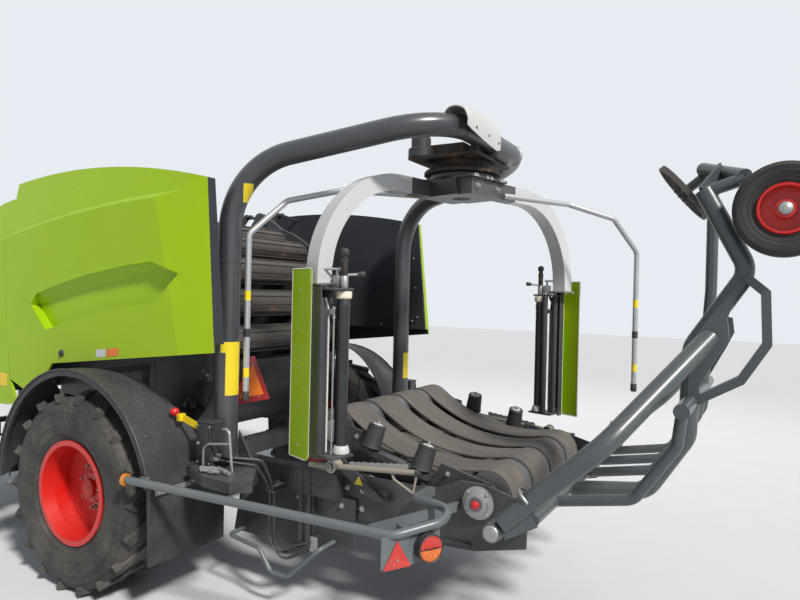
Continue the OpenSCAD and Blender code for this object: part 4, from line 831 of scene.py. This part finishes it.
# Arch
# One thick tube bent over the machine from leg to leg, sprayed dark grey, with plain yellow plates
# wrapped round both legs and the left bend, and weld beads at its joints.
def bands(f):
    """Yellow plates wrapped part of the way round the tube, worn at their edges."""
    x, y, z = f.axis("X"), f.axis("Y"), f.axis("Z")
    left_y = y > 0
    left_x = (x + 0.58) * -0.70 + (y - 0.98) * -0.72
    right_x = (x + 0.58) * -0.86 + (y + 0.98) * -0.51
    left = left_y.low(z.between(1.20, 1.50)).low(left_x > -0.012)
    left_tab = left_y.low(z.between(1.44, 1.50)).low(left_x > -0.040)
    right_leg = (y < 0).low(z.between(1.10, 1.31)).low(right_x > 0.022)
    knee_x = (x + 0.66) * -0.70 + (y - 0.95) * -0.72
    knee = left_y.low(z.between(2.285, 2.385)).low(knee_x.between(-0.012, 0.042))
    share = left.high(left_tab).high(right_leg).high(knee)
    f.layer(share * (f.noise(16, 4.0).ramp(0.18, 0.34)), (0.78, 0.60, 0.01), 0.38, coat=0.25)


arch_paint = paint("arch_paint", (0.040, 0.044, 0.050), 0.34, 0.35, 0.3, "wrap_arch", wear=0.25, marks=bands)
bead = [(0.0645, -0.004), (0.0668, -0.002), (0.0668, 0.002), (0.0645, 0.004)]
bm = bmesh.new()
for s in sides:
    lathe(bm, bead, spot(-2.01, s * 0.40, 2.725), (0, 1, 0), 40)
    lathe(bm, bead, spot(leg_x, s * leg_y, 1.95), (0, 0, 1), 40)
    lathe(bm, [(0.0645, 0.012), (0.070, 0.006), (0.073, 0.0), (0.0645, 0.0)],
          spot(leg_x, s * leg_y, 0.8427), (0, 0, 1), 40)
piece("arch_welds", bm, arch_paint, "chassis")


# Slewing head
# A rusty ring gear of cast steel hangs under the arch on a bolted plate, with a dark drive motor in
# it, and a white moulded hood sits over the tube.
rusty_steel = steel("rusty_steel", (0.050, 0.043, 0.038), 0.30, "wrap_head", "pickup_reel", rough=0.6)
rotor_x = -1.83
bm = bmesh.new()
for i in range(20):
    a = math.radians(i * 18 + 4)
    bolt(bm, spot(rotor_x + 0.214 * math.cos(a), 0.214 * math.sin(a), 2.5482), (0, 0, 1), 0.018)
    bolt(bm, spot(rotor_x + 0.185 * math.cos(a), 0.185 * math.sin(a), 2.4998), (0, 0, -1), 0.012)
for x in (-2.01, -1.94, -1.66, -1.62):
    for y in (-0.235, 0.235):
        bolt(bm, spot(x, y, 2.6242), (0, 0, 1), 0.022)
piece("ring_bolts", bm, rusty_steel, "chassis")
teeth, points_a_tooth, tooth_root = 12, 8, 0.955
gear = bmesh.new()
bmesh.ops.create_circle(gear, cap_ends=True, segments=teeth * points_a_tooth, radius=0.205)
made = bmesh.ops.extrude_face_region(gear, geom=gear.faces[:])["geom"]
bmesh.ops.translate(gear, verts=[v for v in made if isinstance(v, bmesh.types.BMVert)], vec=(0, 0, 0.022))
for i, v in enumerate(sorted(gear.verts, key=lambda v: math.atan2(v.co.y, v.co.x))):
    if (i // 4) % 2:
        v.co.x *= tooth_root
        v.co.y *= tooth_root
gear.transform(Matrix.Translation(spot(rotor_x, 0, 2.5485)))
piece("ring_gear", gear, rusty_steel, "chassis", crease=25)
bm = bmesh.new()
lathe(bm, [(0, 0.155), (0.045, 0.155), (0.052, 0.150), (0.052, 0.120), (0.060, 0.118), (0.060, 0.060),
           (0.072, 0.056), (0.078, 0.050), (0.078, 0.0), (0, 0.0)], spot(-1.64, 0.19, 2.6245), (0, 0, 1), 32)
block(bm, spot(-1.64, 0.19, 2.802), (0.085, 0.075, 0.055), edge=0.006)
for y in (0.205, 0.165):
    rod(bm, spot(-1.64, y, 2.828), spot(-1.64, y, 2.850), 0.013, 6)
    rod(bm, spot(-1.64, y, 2.850), spot(-1.64, y, 2.866), 0.010, 14)
block(bm, spot(-1.98, -0.10, 2.66), (0.16, 0.20, 0.07), edge=0.008)
piece("slewing_motor", bm, black_plastic, "chassis")

# Hood: one white moulding that hugs the arch tube over the head, with its lower rear edge drawn down
# towards the ring. Three screws hold it.
white_hood = paint("white_hood", (0.55, 0.55, 0.535), 0.4, 0.2, 0.25, wear=0.2, worn=(0.4, 0.38, 0.34))
# Each section is its place across the machine, then x and z from its front edge to its rear one.
hood_sections = (
    (0.52, (-1.950, 2.770), (-1.975, 2.803), (-2.02, 2.812),
     (-2.075, 2.790), (-2.100, 2.735), (-2.098, 2.700)),
    (0.49, (-1.935, 2.765), (-1.965, 2.812), (-2.02, 2.824),
     (-2.085, 2.800), (-2.112, 2.735), (-2.110, 2.680)),
    (0.34, (-1.925, 2.765), (-1.955, 2.822), (-2.02, 2.838),
     (-2.090, 2.808), (-2.120, 2.735), (-2.120, 2.650)),
    (0.16, (-1.925, 2.765), (-1.955, 2.820), (-2.02, 2.834),
     (-2.090, 2.804), (-2.122, 2.730), (-2.122, 2.630)),
    (0.08, (-1.940, 2.765), (-1.970, 2.808), (-2.02, 2.820),
     (-2.085, 2.792), (-2.112, 2.728), (-2.112, 2.650)),
)
bm = bmesh.new()
ribs = []
for y, *line in hood_sections:
    verts = [bm.verts.new(spot(x, y, z)) for x, z in line]
    ribs.append([bm.edges.new(pair) for pair in zip(verts, verts[1:])])
for a, b in zip(ribs, ribs[1:]):
    bmesh.ops.bridge_loops(bm, edges=a + b)
bmesh.ops.subdivide_edges(bm, edges=[e for rib in ribs for e in rib], cuts=2, smooth=0.5,
                          use_grid_fill=True)
bmesh.ops.recalc_face_normals(bm, faces=bm.faces)
bmesh.ops.solidify(bm, geom=bm.faces[:], thickness=0.005)
hood = piece("head_hood", bm, white_hood, "chassis", crease=50)
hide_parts("head_cover")
bm = bmesh.new()
for y, x, z in ((0.44, -2.117, 2.70), (0.28, -2.123, 2.69), (0.13, -2.122, 2.68)):
    lathe(bm, [(0, 0.004), (0.004, 0.0035), (0.007, 0.001), (0.007, -0.002)], spot(x, y, z), (-1, 0, 0), 16)
piece("hood_screws", bm, black_plastic, "chassis")


# Wrapping rotor
# Two square steel arms bent down from a dark hub beam, painted silver outside it and scuffed. Bolts
# clamp them between the hub's plates.
units, rotor_rest = (0, 1), 76.4


def arm_place(unit, u, v, z):
    """A place on the rotor: u outwards from its axis, v across and z up; unit 0 is the left arm."""
    a = math.radians(rotor_rest + 180 * unit)
    return spot(rotor_x + u * math.cos(a) - v * math.sin(a), u * math.sin(a) + v * math.cos(a), z)


def arm_way(unit, u, v, z=0.0):
    """A direction on the rotor, as arm_place gives places."""
    return arm_place(unit, u, v, z) - arm_place(unit, 0, 0, 0)


def clamp(f):
    """The arms are dark between the hub's plates."""
    x, y = f.axis("X") + 1.56, f.axis("Y")
    f.layer((x * x + y * y) ** 0.5 < 0.36, (0.060, 0.063, 0.066), 0.5)


silver_paint = paint("silver_paint", (0.55, 0.56, 0.56), 0.34, 0.2, 0.3, "wrap_arms", wear=0.5,
                     worn=(0.20, 0.19, 0.18), marks=clamp)
square_on = Matrix.Rotation(math.radians(rotor_rest), 4, "Z")
bm = bmesh.new()
for unit in units:
    for u in (-0.12, 0.02, 0.14):
        for v in (-0.147 - 0.062, 0.147 + 0.062):
            bolt(bm, arm_place(unit, u, v, 2.4885), (0, 0, 1), 0.022)
    for u in (-0.10, 0.10):
        bolt(bm, arm_place(unit, u, -0.1955, 2.44), arm_way(unit, 0, -1), 0.024)
    block(bm, arm_place(unit, 0.998, -0.147, 1.835), (0.130, 0.130, 0.012), square_on, 0.003)
    for u in (0.945, 1.050):
        for v in (-0.202, -0.092):
            bolt(bm, arm_place(unit, u, v, 1.829), (0, 0, -1), 0.014)
piece("arm_bolts", bm, zinc_steel, "wrapper")

# Safety bars: zinc-plated tubes with two yellow bands, a black ring and a rubber end each.
bar_metal = Finish("bar_zinc", (0.50, 0.51, 0.52), 0.38, metallic=0.6)
bar_metal.layer(bar_metal.noise(50, 3.0, 0.6, stretch=(1, 1, 0.1)) * 0.5, (0.36, 0.365, 0.37), 0.5)
bar_z = bar_metal.axis("Z")
bar_metal.layer(bar_z.between(1.735, 1.790).high(bar_z.between(1.300, 1.352)), (0.82, 0.62, 0.01), 0.4, 0.0)
bar_metal.layer(bar_z.between(1.528, 1.575), (0.02, 0.02, 0.022), 0.55, 0.0)
bar_metal.dust(0.25)
bar_metal.done("safety_bars")
bar_reach, bar_turn = 1.284, math.radians(30)
bm = bmesh.new()
for unit in units:
    at = arm_place(unit, bar_reach * math.cos(bar_turn), -bar_reach * math.sin(bar_turn), 1.165)
    lathe(bm, [(0, 0), (0.015, 0), (0.0195, 0.003), (0.0205, 0.008), (0.0205, 0.052), (0.0185, 0.055),
               (0.0178, 0.055)], at, (0, 0, 1), 24)
    lathe(bm, [(0.0178, 0), (0.0195, 0.001), (0.0195, 0.044), (0.0178, 0.045)], at + Vector((0, 0, 0.364)),
          (0, 0, 1), 24)
piece("bar_rubbers", bm, black_plastic, "wrapper")

# Film carriers: dark folded posts with a bright rolled edge, two black rollers that stretch the film,
# a sprung rod, and a rusty mandrel with a ball knob and a lever over each reel.
carrier_paint = paint("carrier_paint", (0.040, 0.043, 0.048), 0.42, 0.1, 0.3, wear=0.6)
reel_u, roller_foot = 0.948, 0.9605
frames, trim, pins, blacks, rusts = [bmesh.new() for _ in range(5)]
for unit in units:
    def at(u, v, z):
        return arm_place(unit, u, v, z)

    # Post folded from plate, with the plates over and under the reel
    block(frames, at(1.056, -0.090, 1.3825), (0.008, 0.080, 0.895), square_on, 0.002)
    block(frames, at(1.034, -0.126, 1.3825), (0.050, 0.008, 0.895), square_on, 0.002)
    block(frames, at(1.034, -0.054, 1.350), (0.050, 0.008, 0.830), square_on, 0.002)
    block(frames, at(0.982, -0.035, 0.953), (0.150, 0.178, 0.014), square_on, 0.003)
    block(frames, at(0.986, -0.040, 1.8075), (0.136, 0.164, 0.013), square_on, 0.003)
    block(frames, at(1.036, -0.090, 1.824), (0.048, 0.078, 0.012), square_on, 0.003)
    block(frames, at(1.030, -0.090, 0.975), (0.044, 0.066, 0.030), square_on, 0.003)
    # Rolled edge of the post
    bar(trim, [at(1.007, -0.050, 0.965), at(1.007, -0.050, 1.700), at(1.030, -0.050, 1.765)],
        0.0058, 10, bend=0.02)
    # Sprung rod with its collars and bracket
    bar(pins, [at(1.000, -0.016, 0.960), at(1.000, -0.016, 1.718)], 0.0045, 10)
    for z in (0.961, 1.655, 1.704):
        rod(pins, at(1.000, -0.016, z), at(1.000, -0.016, z + 0.014), 0.0090, 6)
    block(pins, at(1.012, -0.034, 1.690), (0.004, 0.040, 0.030), square_on, 0.001)
    # Rollers with end rings and pins
    for u, v in ((0.925, -0.055), (0.985, -0.100)):
        lathe(blacks, [(0, 0), (0.0205, 0), (0.0215, 0.003), (0.0215, 0.012), (0.0200, 0.014),
                       (0.0200, 0.826), (0.0215, 0.828), (0.0215, 0.838), (0.0205, 0.840), (0, 0.840)],
              at(u, v, roller_foot), (0, 0, 1), 24)
        rod(pins, at(u, v, 1.813), at(u, v, 1.826), 0.010, 6)
        rod(pins, at(u, v, 1.826), at(u, v, 1.834), 0.006, 12)
    # Latch bracket with its cross pin, and the black spring strut that lifts the mandrel
    block(pins, at(0.950, -0.052, 1.848), (0.030, 0.050, 0.062), square_on, 0.003)
    rod(pins, at(1.000, -0.100, 1.912), at(0.952, -0.044, 1.912), 0.0065, 12)
    rod(pins, at(0.952, -0.044, 1.912), at(0.946, -0.037, 1.912), 0.0105, 14)
    block(pins, at(0.955, -0.050, 1.894), (0.012, 0.012, 0.040), square_on, 0.002)
    rod(blacks, at(1.010, -0.087, 1.729), at(0.978, -0.066, 1.790), 0.0125, 16)
    rod(blacks, at(0.978, -0.066, 1.790), at(0.952, -0.048, 1.838), 0.0075, 12)
    # Mandrel with its sleeve, rings, ball knob and lever
    lathe(pins, [(0, 0), (0.0185, 0.0), (0.0195, 0.003), (0.0195, 0.058), (0.0170, 0.062), (0, 0.062)],
          at(reel_u, 0, 1.8145), (0, 0, 1), 28)
    lathe(rusts, [(0, 0), (0.0165, 0.0), (0.0172, 0.003), (0.0172, 0.070), (0.0150, 0.074),
                  (0.0150, 0.102), (0, 0.102)], at(reel_u, 0, 1.876), (0, 0, 1), 28)
    lathe(blacks, [(0.0150, 0), (0.0190, 0.002), (0.0190, 0.016), (0.0150, 0.018)],
          at(reel_u, 0, 1.944), (0, 0, 1), 24)
    lathe(blacks, [(0, 0.044), (0.010, 0.0435), (0.018, 0.038), (0.0220, 0.029), (0.0220, 0.018),
                   (0.018, 0.008), (0.012, 0.0), (0, 0)], at(reel_u, 0, 1.977), (0, 0, 1), 28)
    root, tip = at(reel_u, 0, 1.880), at(0.886, 0.062, 1.887)
    rod(pins, root, tip, 0.0075, 14)
    lathe(blacks, [(0.0075, -0.020), (0.0115, -0.018), (0.0135, 0.0), (0.0145, 0.012), (0.011, 0.018),
                   (0, 0.019)], tip, (tip - root).normalized(), 24)
carriers = piece("carrier_frames", frames, carrier_paint, "wrapper")
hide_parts("film_carriers")
piece("carrier_trim", trim, pale_edge, "wrapper")
piece("carrier_pins", pins, zinc_steel, "wrapper")
piece("carrier_rollers", blacks, black_plastic, "wrapper")
piece("mandrels", rusts, rusty_steel, "wrapper")

# Reels: a slim black plastic tube between a cream collar and a white foot cone, which centre it on
# the mandrel and turn with it.
cream = plastic("cream_plastic", (0.60, 0.55, 0.43), 0.4, 0.2, grain=0.0001)
reel_black = plastic("reel_plastic", (0.016, 0.016, 0.018), 0.30, 0.3)
for unit, side in ((0, "left"), (1, "right")):
    def at(z):
        return arm_place(unit, reel_u, 0, z)

    bm = bmesh.new()
    lathe(bm, [(0, 0), (0.0300, 0), (0.0310, 0.004), (0.0310, 0.030), (0.0300, 0.034), (0.0300, 0.745),
               (0.0325, 0.752), (0.0325, 0.775), (0.0300, 0.782), (0.0300, 0.838), (0, 0.838)],
          at(0.9615), (0, 0, 1), 40)
    tube = piece(side + "_reel_tube", bm, reel_black, side + "_reel")
    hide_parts(side + "_film_reel")
    bm = bmesh.new()
    lathe(bm, [(0.0300, 0.000), (0.035, 0.001), (0.0405, 0.007), (0.0410, 0.034), (0.039, 0.0400),
               (0.0300, 0.0410)], at(1.757), (0, 0, 1), 40)
    piece(side + "_top_core", bm, cream, side + "_reel")
    bm = bmesh.new()
    lathe(bm, [(0.0310, 0.000), (0.0445, 0.000), (0.0455, 0.008), (0.041, 0.026), (0.036, 0.038),
               (0.0310, 0.040)], at(0.9625), (0, 0, 1), 40)
    piece(side + "_foot_core", bm, white_hood, side + "_reel")

# Film guards: bent lime sheets with pale rolled edges, riveted to the posts.
paint("lime_guard", lime, 0.32, 0.15, 0.18, "film_guards", wear=0.35, shine=0.25)
inner_edge, fold, outer_edge = (1.0647, -0.125), (1.115, -0.078), (1.0985, -0.2345)
bm, rivets = bmesh.new(), bmesh.new()
for unit in units:
    for u, v in (inner_edge, outer_edge):
        bar(bm, [arm_place(unit, u, v, 0.937), arm_place(unit, u, v, 1.908)], 0.0052, 10)
    for z in (1.909, 0.936):
        bar(bm, [arm_place(unit, u, v, z) for u, v in (inner_edge, fold, outer_edge)],
            0.0048, 10, bend=0.012)
    for z in (1.0, 1.2, 1.4, 1.6, 1.8):
        lathe(rivets, [(0, 0.004), (0.004, 0.003), (0.006, 0)], arm_place(unit, 1.1125, -0.155, z),
              arm_way(unit, 1, -0.1), 12)
piece("guard_edges", bm, pale_edge, "wrapper")
piece("guard_rivets", rivets, zinc_steel, "wrapper")
label_foot, label_height = 1.62, 0.16
bm = bmesh.new()
for unit in units:
    way = arm_way(unit, 0.72, -0.70).normalized()
    flat = arm_way(unit, 0.70, 0.72).normalized()
    label(bm, [arm_place(unit, 1.0895, -0.1035, label_foot) + flat * a + Vector((0, 0, b)) + way * 0.0036
               for a, b in ((-0.014, 0), (0.014, 0), (0.014, label_height), (-0.014, label_height))], way)
piece("guard_labels", bm, cast_yellow, "wrapper")


# Wrapping table
# Wide worn rubber belts run over two steel drums between plate sides. Black cones with white bolted
# caps keep the bale centred.
table_tilt = math.radians(13)


def table_place(x, y, z):
    """A place on the tilted table, from the rear drum's axis."""
    return spot(drum_x + x * math.cos(table_tilt) - z * math.sin(table_tilt), y,
                drum_z + x * math.sin(table_tilt) + z * math.cos(table_tilt))


table_up = table_place(0, 0, 1) - table_place(0, 0, 0)
steel("drum_steel", (0.20, 0.21, 0.225), 0.12, "table_drums", drawn=(1, 0.05, 1))
belt = Finish("belt_rubber", (0.088, 0.076, 0.066), 0.72)
belt.layer(belt.noise(6, 5.0, 0.7, stretch=(0.5, 3, 1)).ramp(0.4, 0.75), (0.150, 0.130, 0.112), 0.84)
belt.layer(belt.noise(38, 3.0, 0.6, stretch=(0.25, 4, 1)).ramp(0.55, 0.75) * 0.7,
           (0.045, 0.039, 0.034), 0.66)
fine_ribs = (belt.axis("Y") * 180).math("SINE")
belt.bump(fine_ribs, 0.0005)
belt.dust(0.30, (0.22, 0.20, 0.17))
belt.bump(belt.noise(150, 3.0, 0.6, stretch=(1, 3, 1)), 0.0012)
belt.done("table_belts")
cone_lean = math.radians(12)
caps, screws, rims = bmesh.new(), bmesh.new(), bmesh.new()
for s in sides:
    axis = (table_up * math.cos(cone_lean) + Vector((0, -s * math.sin(cone_lean), 0))).normalized()
    for x in (0.360, 0.680):
        foot = table_place(x, s * 0.690, 0.0103 + 0.046 * math.tan(cone_lean))
        top = foot + axis * 0.125
        lathe(caps, [(0, 0.008), (0.020, 0.008), (0.028, 0.005), (0.030, 0.0005), (0, 0.0005)],
              top, axis, 32)
        bolt(screws, top + axis * 0.008, axis, 0.018)
        lathe(rims, [(0.0472, -0.020), (0.0485, -0.012), (0.0480, -0.002), (0.043, 0.003), (0.031, 0.0035)],
              top, axis, 36)
        lathe(rims, [(0.0562, 0.0), (0.0575, 0.002), (0.0568, 0.008), (0.0558, 0.010)], foot, axis, 36)
piece("cone_caps", caps, white_hood, "table")
piece("cone_screws", screws, zinc_steel, "table")
piece("cone_rims", rims, black_plastic, "table")

# Table sides: rows of zinc bolts, with a flange round each rear drum's shaft and a cap on each front one.
bm = bmesh.new()
for s in sides:
    for x, z in ((0.02, 0.055), (0.05, -0.06), (0.22, 0.04), (0.34, -0.07), (0.52, -0.09), (0.72, -0.10),
                 (0.80, 0.03), (0.88, -0.11), (0.93, 0.03)):
        bolt(bm, table_place(x, s * 0.6564, z), (0, s, 0), 0.019)
    lathe(bm, [(0.0345, 0), (0.060, 0), (0.060, 0.005), (0.046, 0.009), (0.042, 0.016), (0.0345, 0.017)],
          table_place(0, s * 0.6565, 0), (0, s, 0), 32)
    lathe(bm, [(0, 0.010), (0.040, 0.010), (0.060, 0.006), (0.064, 0.0), (0, 0)],
          table_place(0.965, s * 0.6565, 0), (0, s, 0), 32)
piece("table_bolts", bm, zinc_steel, "table")


# Film cutters
# A tube on a pin each side, painted sand, with a bent wire that gathers the film and a serrated blade
# on the tube. Its bracket carries a plain yellow triangle.
cutter_x, cutter_z = 0.34, 0.854
paint("sand_paint", (0.33, 0.29, 0.225), 0.5, 0.05, 0.4, "left_film_cutter", "right_film_cutter", wear=0.4)
for unit, side in named_sides:
    def cut_place(x, y, z):
        """A place on the cutter, from its pin."""
        return spot(rotor_x + unit * (cutter_x + x), unit * (0.80 + y), cutter_z + z)

    bm = bmesh.new()
    blade = [cut_place(x, 0.016, z) for x, z in ((-0.46, 0.0545), (-0.10, 0.0130), (-0.10, 0.034))]
    for i in range(19):
        t = i / 18
        blade.append(cut_place(-0.10 - 0.36 * t, 0.016, 0.034 + 0.0415 * t + (0.006 if i % 2 else 0)))
    plate(bm, blade, (0, unit, 0), 0.002)
    lathe(bm, [(0.0270, 0), (0.034, 0), (0.034, 0.004), (0.0265, 0.006)],
          cut_place(0, 0.045, 0), (0, unit, 0), 28)
    piece(side + "_cutter_blade", bm, zinc_steel, side + "_cutter")
    bm = bmesh.new()
    for x, z, way in ((0.175, -0.016, 1), (-0.520, 0.044, -1)):
        lathe(bm, [(0, 0.006), (0.014, 0.006), (0.0155, 0.003), (0.0155, -0.014), (0.0142, -0.014)],
              cut_place(x, 0.020, z), (way * unit * 0.99, 0, way * -0.09), 24)
    piece(side + "_cutter_plugs", bm, black_plastic, side + "_cutter")
    bm = bmesh.new()
    lathe(bm, [(0, 0.006), (0.012, 0.006), (0.018, 0.004), (0.018, 0), (0, 0)], cut_place(0, 0.062, 0),
          (0, unit, 0), 20)
    bolt(bm, cut_place(0, 0.068, 0), (0, unit, 0), 0.016)
    piece(side + "_cutter_pin", bm, zinc_steel, "chassis")
bm = bmesh.new()
for unit, foot_x, foot_z in ((1, -0.30, 0.690), (-1, -0.03, 0.772)):
    middle_x, middle_z = foot_x * 0.5 + 0.02, (foot_z + cutter_z) / 2 + 0.01
    label(bm, [spot(rotor_x + unit * (cutter_x + middle_x + x), unit * 0.767, middle_z + z)
               for x, z in ((-0.028, -0.022), (0.028, -0.022), (0, 0.026))], (0, unit, 0))
piece("cutter_triangles", bm, cast_yellow, "chassis")


# Bale turner
# Bent tubes of worn blue-grey paint carry the bale down behind the table. At the top sit a spoked
# tipping disc of cast metal and a small wheel on a red rim with a zinc hub cap.
pivot_x, pivot_z, turner_wheel_z = -2.47, 0.745, 2.19
turner_paint = paint("turner_paint", (0.055, 0.069, 0.074), 0.34, 0.2, 0.25, "turner_frame", wear=0.6,
                     worn=(0.30, 0.31, 0.30))
plastic("disc_metal", (0.050, 0.044, 0.038), 0.6, 0.5, "turner_disc", grain=0.0006)
tyre("turner_rubber", "turner_tyre", centre=(-3.285, turner_wheel_z),
     rings=(0.124, 0.140, 0.176, 0.184), mud=0.3)
bm = bmesh.new()
lathe(bm, [(0, 0.024), (0.010, 0.024), (0.014, 0.021), (0.023, 0.019), (0.028, 0.014), (0.030, 0.006),
           (0.030, 0.0006), (0, 0.0006)], spot(-3.555, 0.4503, turner_wheel_z), (0, 1, 0), 36)
piece("turner_hub_cap", bm, zinc_steel, "turner_wheel")
bm = bmesh.new()
for s in sides:
    lathe(bm, [(0, 0.010), (0.020, 0.010), (0.034, 0.006), (0.038, 0.0), (0.0225, 0.0)],
          spot(pivot_x, s * 0.9965, pivot_z), (0, s, 0), 28)
    rod(bm, spot(pivot_x, s * 1.001, pivot_z), spot(pivot_x, s * 1.0135, pivot_z), 0.0225, 20)
    lathe(bm, [(0.0465, 0.0), (0.050, 0.004), (0.050, 0.010), (0.0465, 0.014)],
          spot(-2.60, s * 0.928, 0.905), Vector((-0.41, -s * 0.095, 0.38)), 28)
piece("turner_bolts", bm, zinc_steel, "turner")

# Loop: a flat bar bent round behind the mast, mitred at its bends and welded at both ends.
loop_y, loop_half, loop_depth = 0.2545, 0.020, 0.091
bm = bmesh.new()
loop = [Vector(p) for p in
        ((-3.200, 1.309), (-3.400, 1.430), (-3.500, 1.600), (-3.490, 1.830), (-3.410, 1.901))]
edges_of_bar = ([], [])
for i, p in enumerate(loop):
    before = (p - loop[i - 1]).normalized() if i else (loop[1] - p).normalized()
    after = (loop[i + 1] - p).normalized() if i < len(loop) - 1 else before
    mitre = (before + after).normalized()
    reach = loop_half / mitre.dot(before)
    edges_of_bar[0].append(spot(p.x - mitre.y * reach, loop_y, p.y + mitre.x * reach))
    edges_of_bar[1].append(spot(p.x + mitre.y * reach, loop_y, p.y - mitre.x * reach))
plate(bm, edges_of_bar[0] + edges_of_bar[1][::-1], (0, 1, 0), loop_depth)
piece("turner_loop", bm, turner_paint, "turner")

# Disc hub: a rusty cast boss with six small bolts, on the disc's leaning axis.
way = Vector((-76, -10, 64)).normalized()
hub = spot(-3.115, -0.035, 2.370)
bm = bmesh.new()
lathe(bm, [(0, -0.050), (0.012, -0.050), (0.018, -0.047), (0.040, -0.0455), (0.046, -0.044), (0, -0.0440)],
      hub, way, 32)
for i in range(6):
    side_way = way.orthogonal().normalized()
    side_way.rotate(Matrix.Rotation(math.radians(60 * i), 3, way))
    bolt(bm, hub - way * 0.0442 + side_way * 0.036, -way, 0.009)
piece("disc_hub", bm, rusty_steel, "tipping_disc")


# Drawbar, gearbox and stand
# A welded triangle of box tube with a ring hitch, a cast gearbox with a splined shaft, and a stand
# whose bent crank handle has a plastic grip. All are held by zinc bolts.
stand_x, shaft_z = 2.35, 1.0
bm = bmesh.new()
for i in range(6):
    a = math.radians(i * 60)
    bolt(bm, spot(1.9702, 0.055 * math.cos(a), shaft_z + 0.055 * math.sin(a)), (1, 0, 0), 0.013)
for x in (1.72, 1.92):
    for y in (-0.13, 0.13):
        bolt(bm, spot(x, y, 1.1502), (0, 0, 1), 0.018)
for y in (-0.40, -0.30, 0.30, 0.40):
    for z in (0.86, 0.94):
        bolt(bm, spot(1.4702, y, z), (1, 0, 0), 0.022)
for x in (2.68, 2.75):
    for y in (-0.08, 0.08):
        bolt(bm, spot(x, y, 0.7552), (0, 0, 1), 0.022)
for z in (0.67, 0.74):
    for x in (2.325, 2.375):
        bolt(bm, spot(x, 0.1498, z), (0, -1, 0), 0.018)
piece("drawbar_bolts", bm, zinc_steel, "chassis")
bm = bmesh.new()
for i in range(6):
    a = math.radians(i * 60)
    block(bm, spot(2.011, 0.0165 * math.cos(a), shaft_z + 0.0165 * math.sin(a)), (0.070, 0.0045, 0.0045),
          Matrix.Rotation(a, 4, "X"), 0.0008)
piece("shaft_splines", bm, zinc_steel, "chassis")
bm = bmesh.new()
rod(bm, spot(stand_x, 0.370, 0.895), spot(stand_x, 0.394, 0.895), 0.012, 14)
bar(bm, [spot(stand_x, 0.376, 0.895), spot(stand_x, 0.43, 0.895), spot(stand_x, 0.43, 1.00)],
    0.008, 12, bend=0.02)
rod(bm, spot(stand_x, 0.43, 1.00), spot(stand_x, 0.43, 1.012), 0.0085, 14)
piece("stand_crank", bm, zinc_steel, "chassis")
bm = bmesh.new()
lathe(bm, [(0.0085, 0), (0.014, 0.002), (0.016, 0.03), (0.016, 0.085), (0.012, 0.092), (0, 0.093)],
      spot(stand_x, 0.43, 1.004), (0, 0, 1), 20)
piece("crank_grip", bm, black_plastic, "chassis")

# Front cover: a dark moulded shroud with three pressed ribs, held by a row of screws on each side.
bm = bmesh.new()
for z in (1.30, 1.50, 1.70):
    block(bm, spot(1.5605, 0, z), (0.008, 1.90, 0.036), edge=0.0035)
for s in sides:
    for z in (1.08, 1.28, 1.48, 1.68):
        lathe(bm, [(0, 0.005), (0.007, 0.004), (0.010, 0.001), (0.010, 0)],
              spot(1.42, s * 1.0402, z), (0, s, 0), 14)
piece("cover_ribs", bm, dark_sheet, "chassis")

# Pick-up: bolted bearing flanges at the reel's ends, and hub caps on the two small wheels.
tine_x, tine_z, gauge_x, gauge_z = 1.79, 0.47, 1.62, 0.345
bm = bmesh.new()
for s in sides:
    lathe(bm, [(0.0215, 0), (0.055, 0), (0.055, 0.005), (0.034, 0.010), (0.030, 0.016), (0.0215, 0.016)],
          spot(tine_x, s * 1.0622, tine_z), (0, s, 0), 28)
    for k in range(4):
        bolt(bm, ring_spot(tine_x, s * 1.0672, tine_z, 0.045, math.radians(45 + 90 * k)), (0, s, 0), 0.011)
    for x, z in ((1.30, 0.60), (1.45, 0.60), (1.60, 0.60), (1.90, 0.60), (1.56, 0.345), (1.62, 0.42)):
        bolt(bm, spot(x, s * 1.0622, z), (0, s, 0), 0.016)
piece("pickup_bolts", bm, zinc_steel, "pickup")
for s, side in named_sides:
    bm = bmesh.new()
    lathe(bm, [(0.0155, 0.002), (0.060, 0.002), (0.066, 0.0), (0.066, -0.003), (0.0155, -0.003)],
          spot(gauge_x, s * 1.1925, gauge_z), (0, s, 0), 32)
    for k in range(4):
        bolt(bm, ring_spot(gauge_x, s * 1.1946, gauge_z, 0.046, math.radians(90 * k)), (0, s, 0), 0.011)
    piece(side + "_gauge_hub", bm, zinc_steel, side + "_gauge")
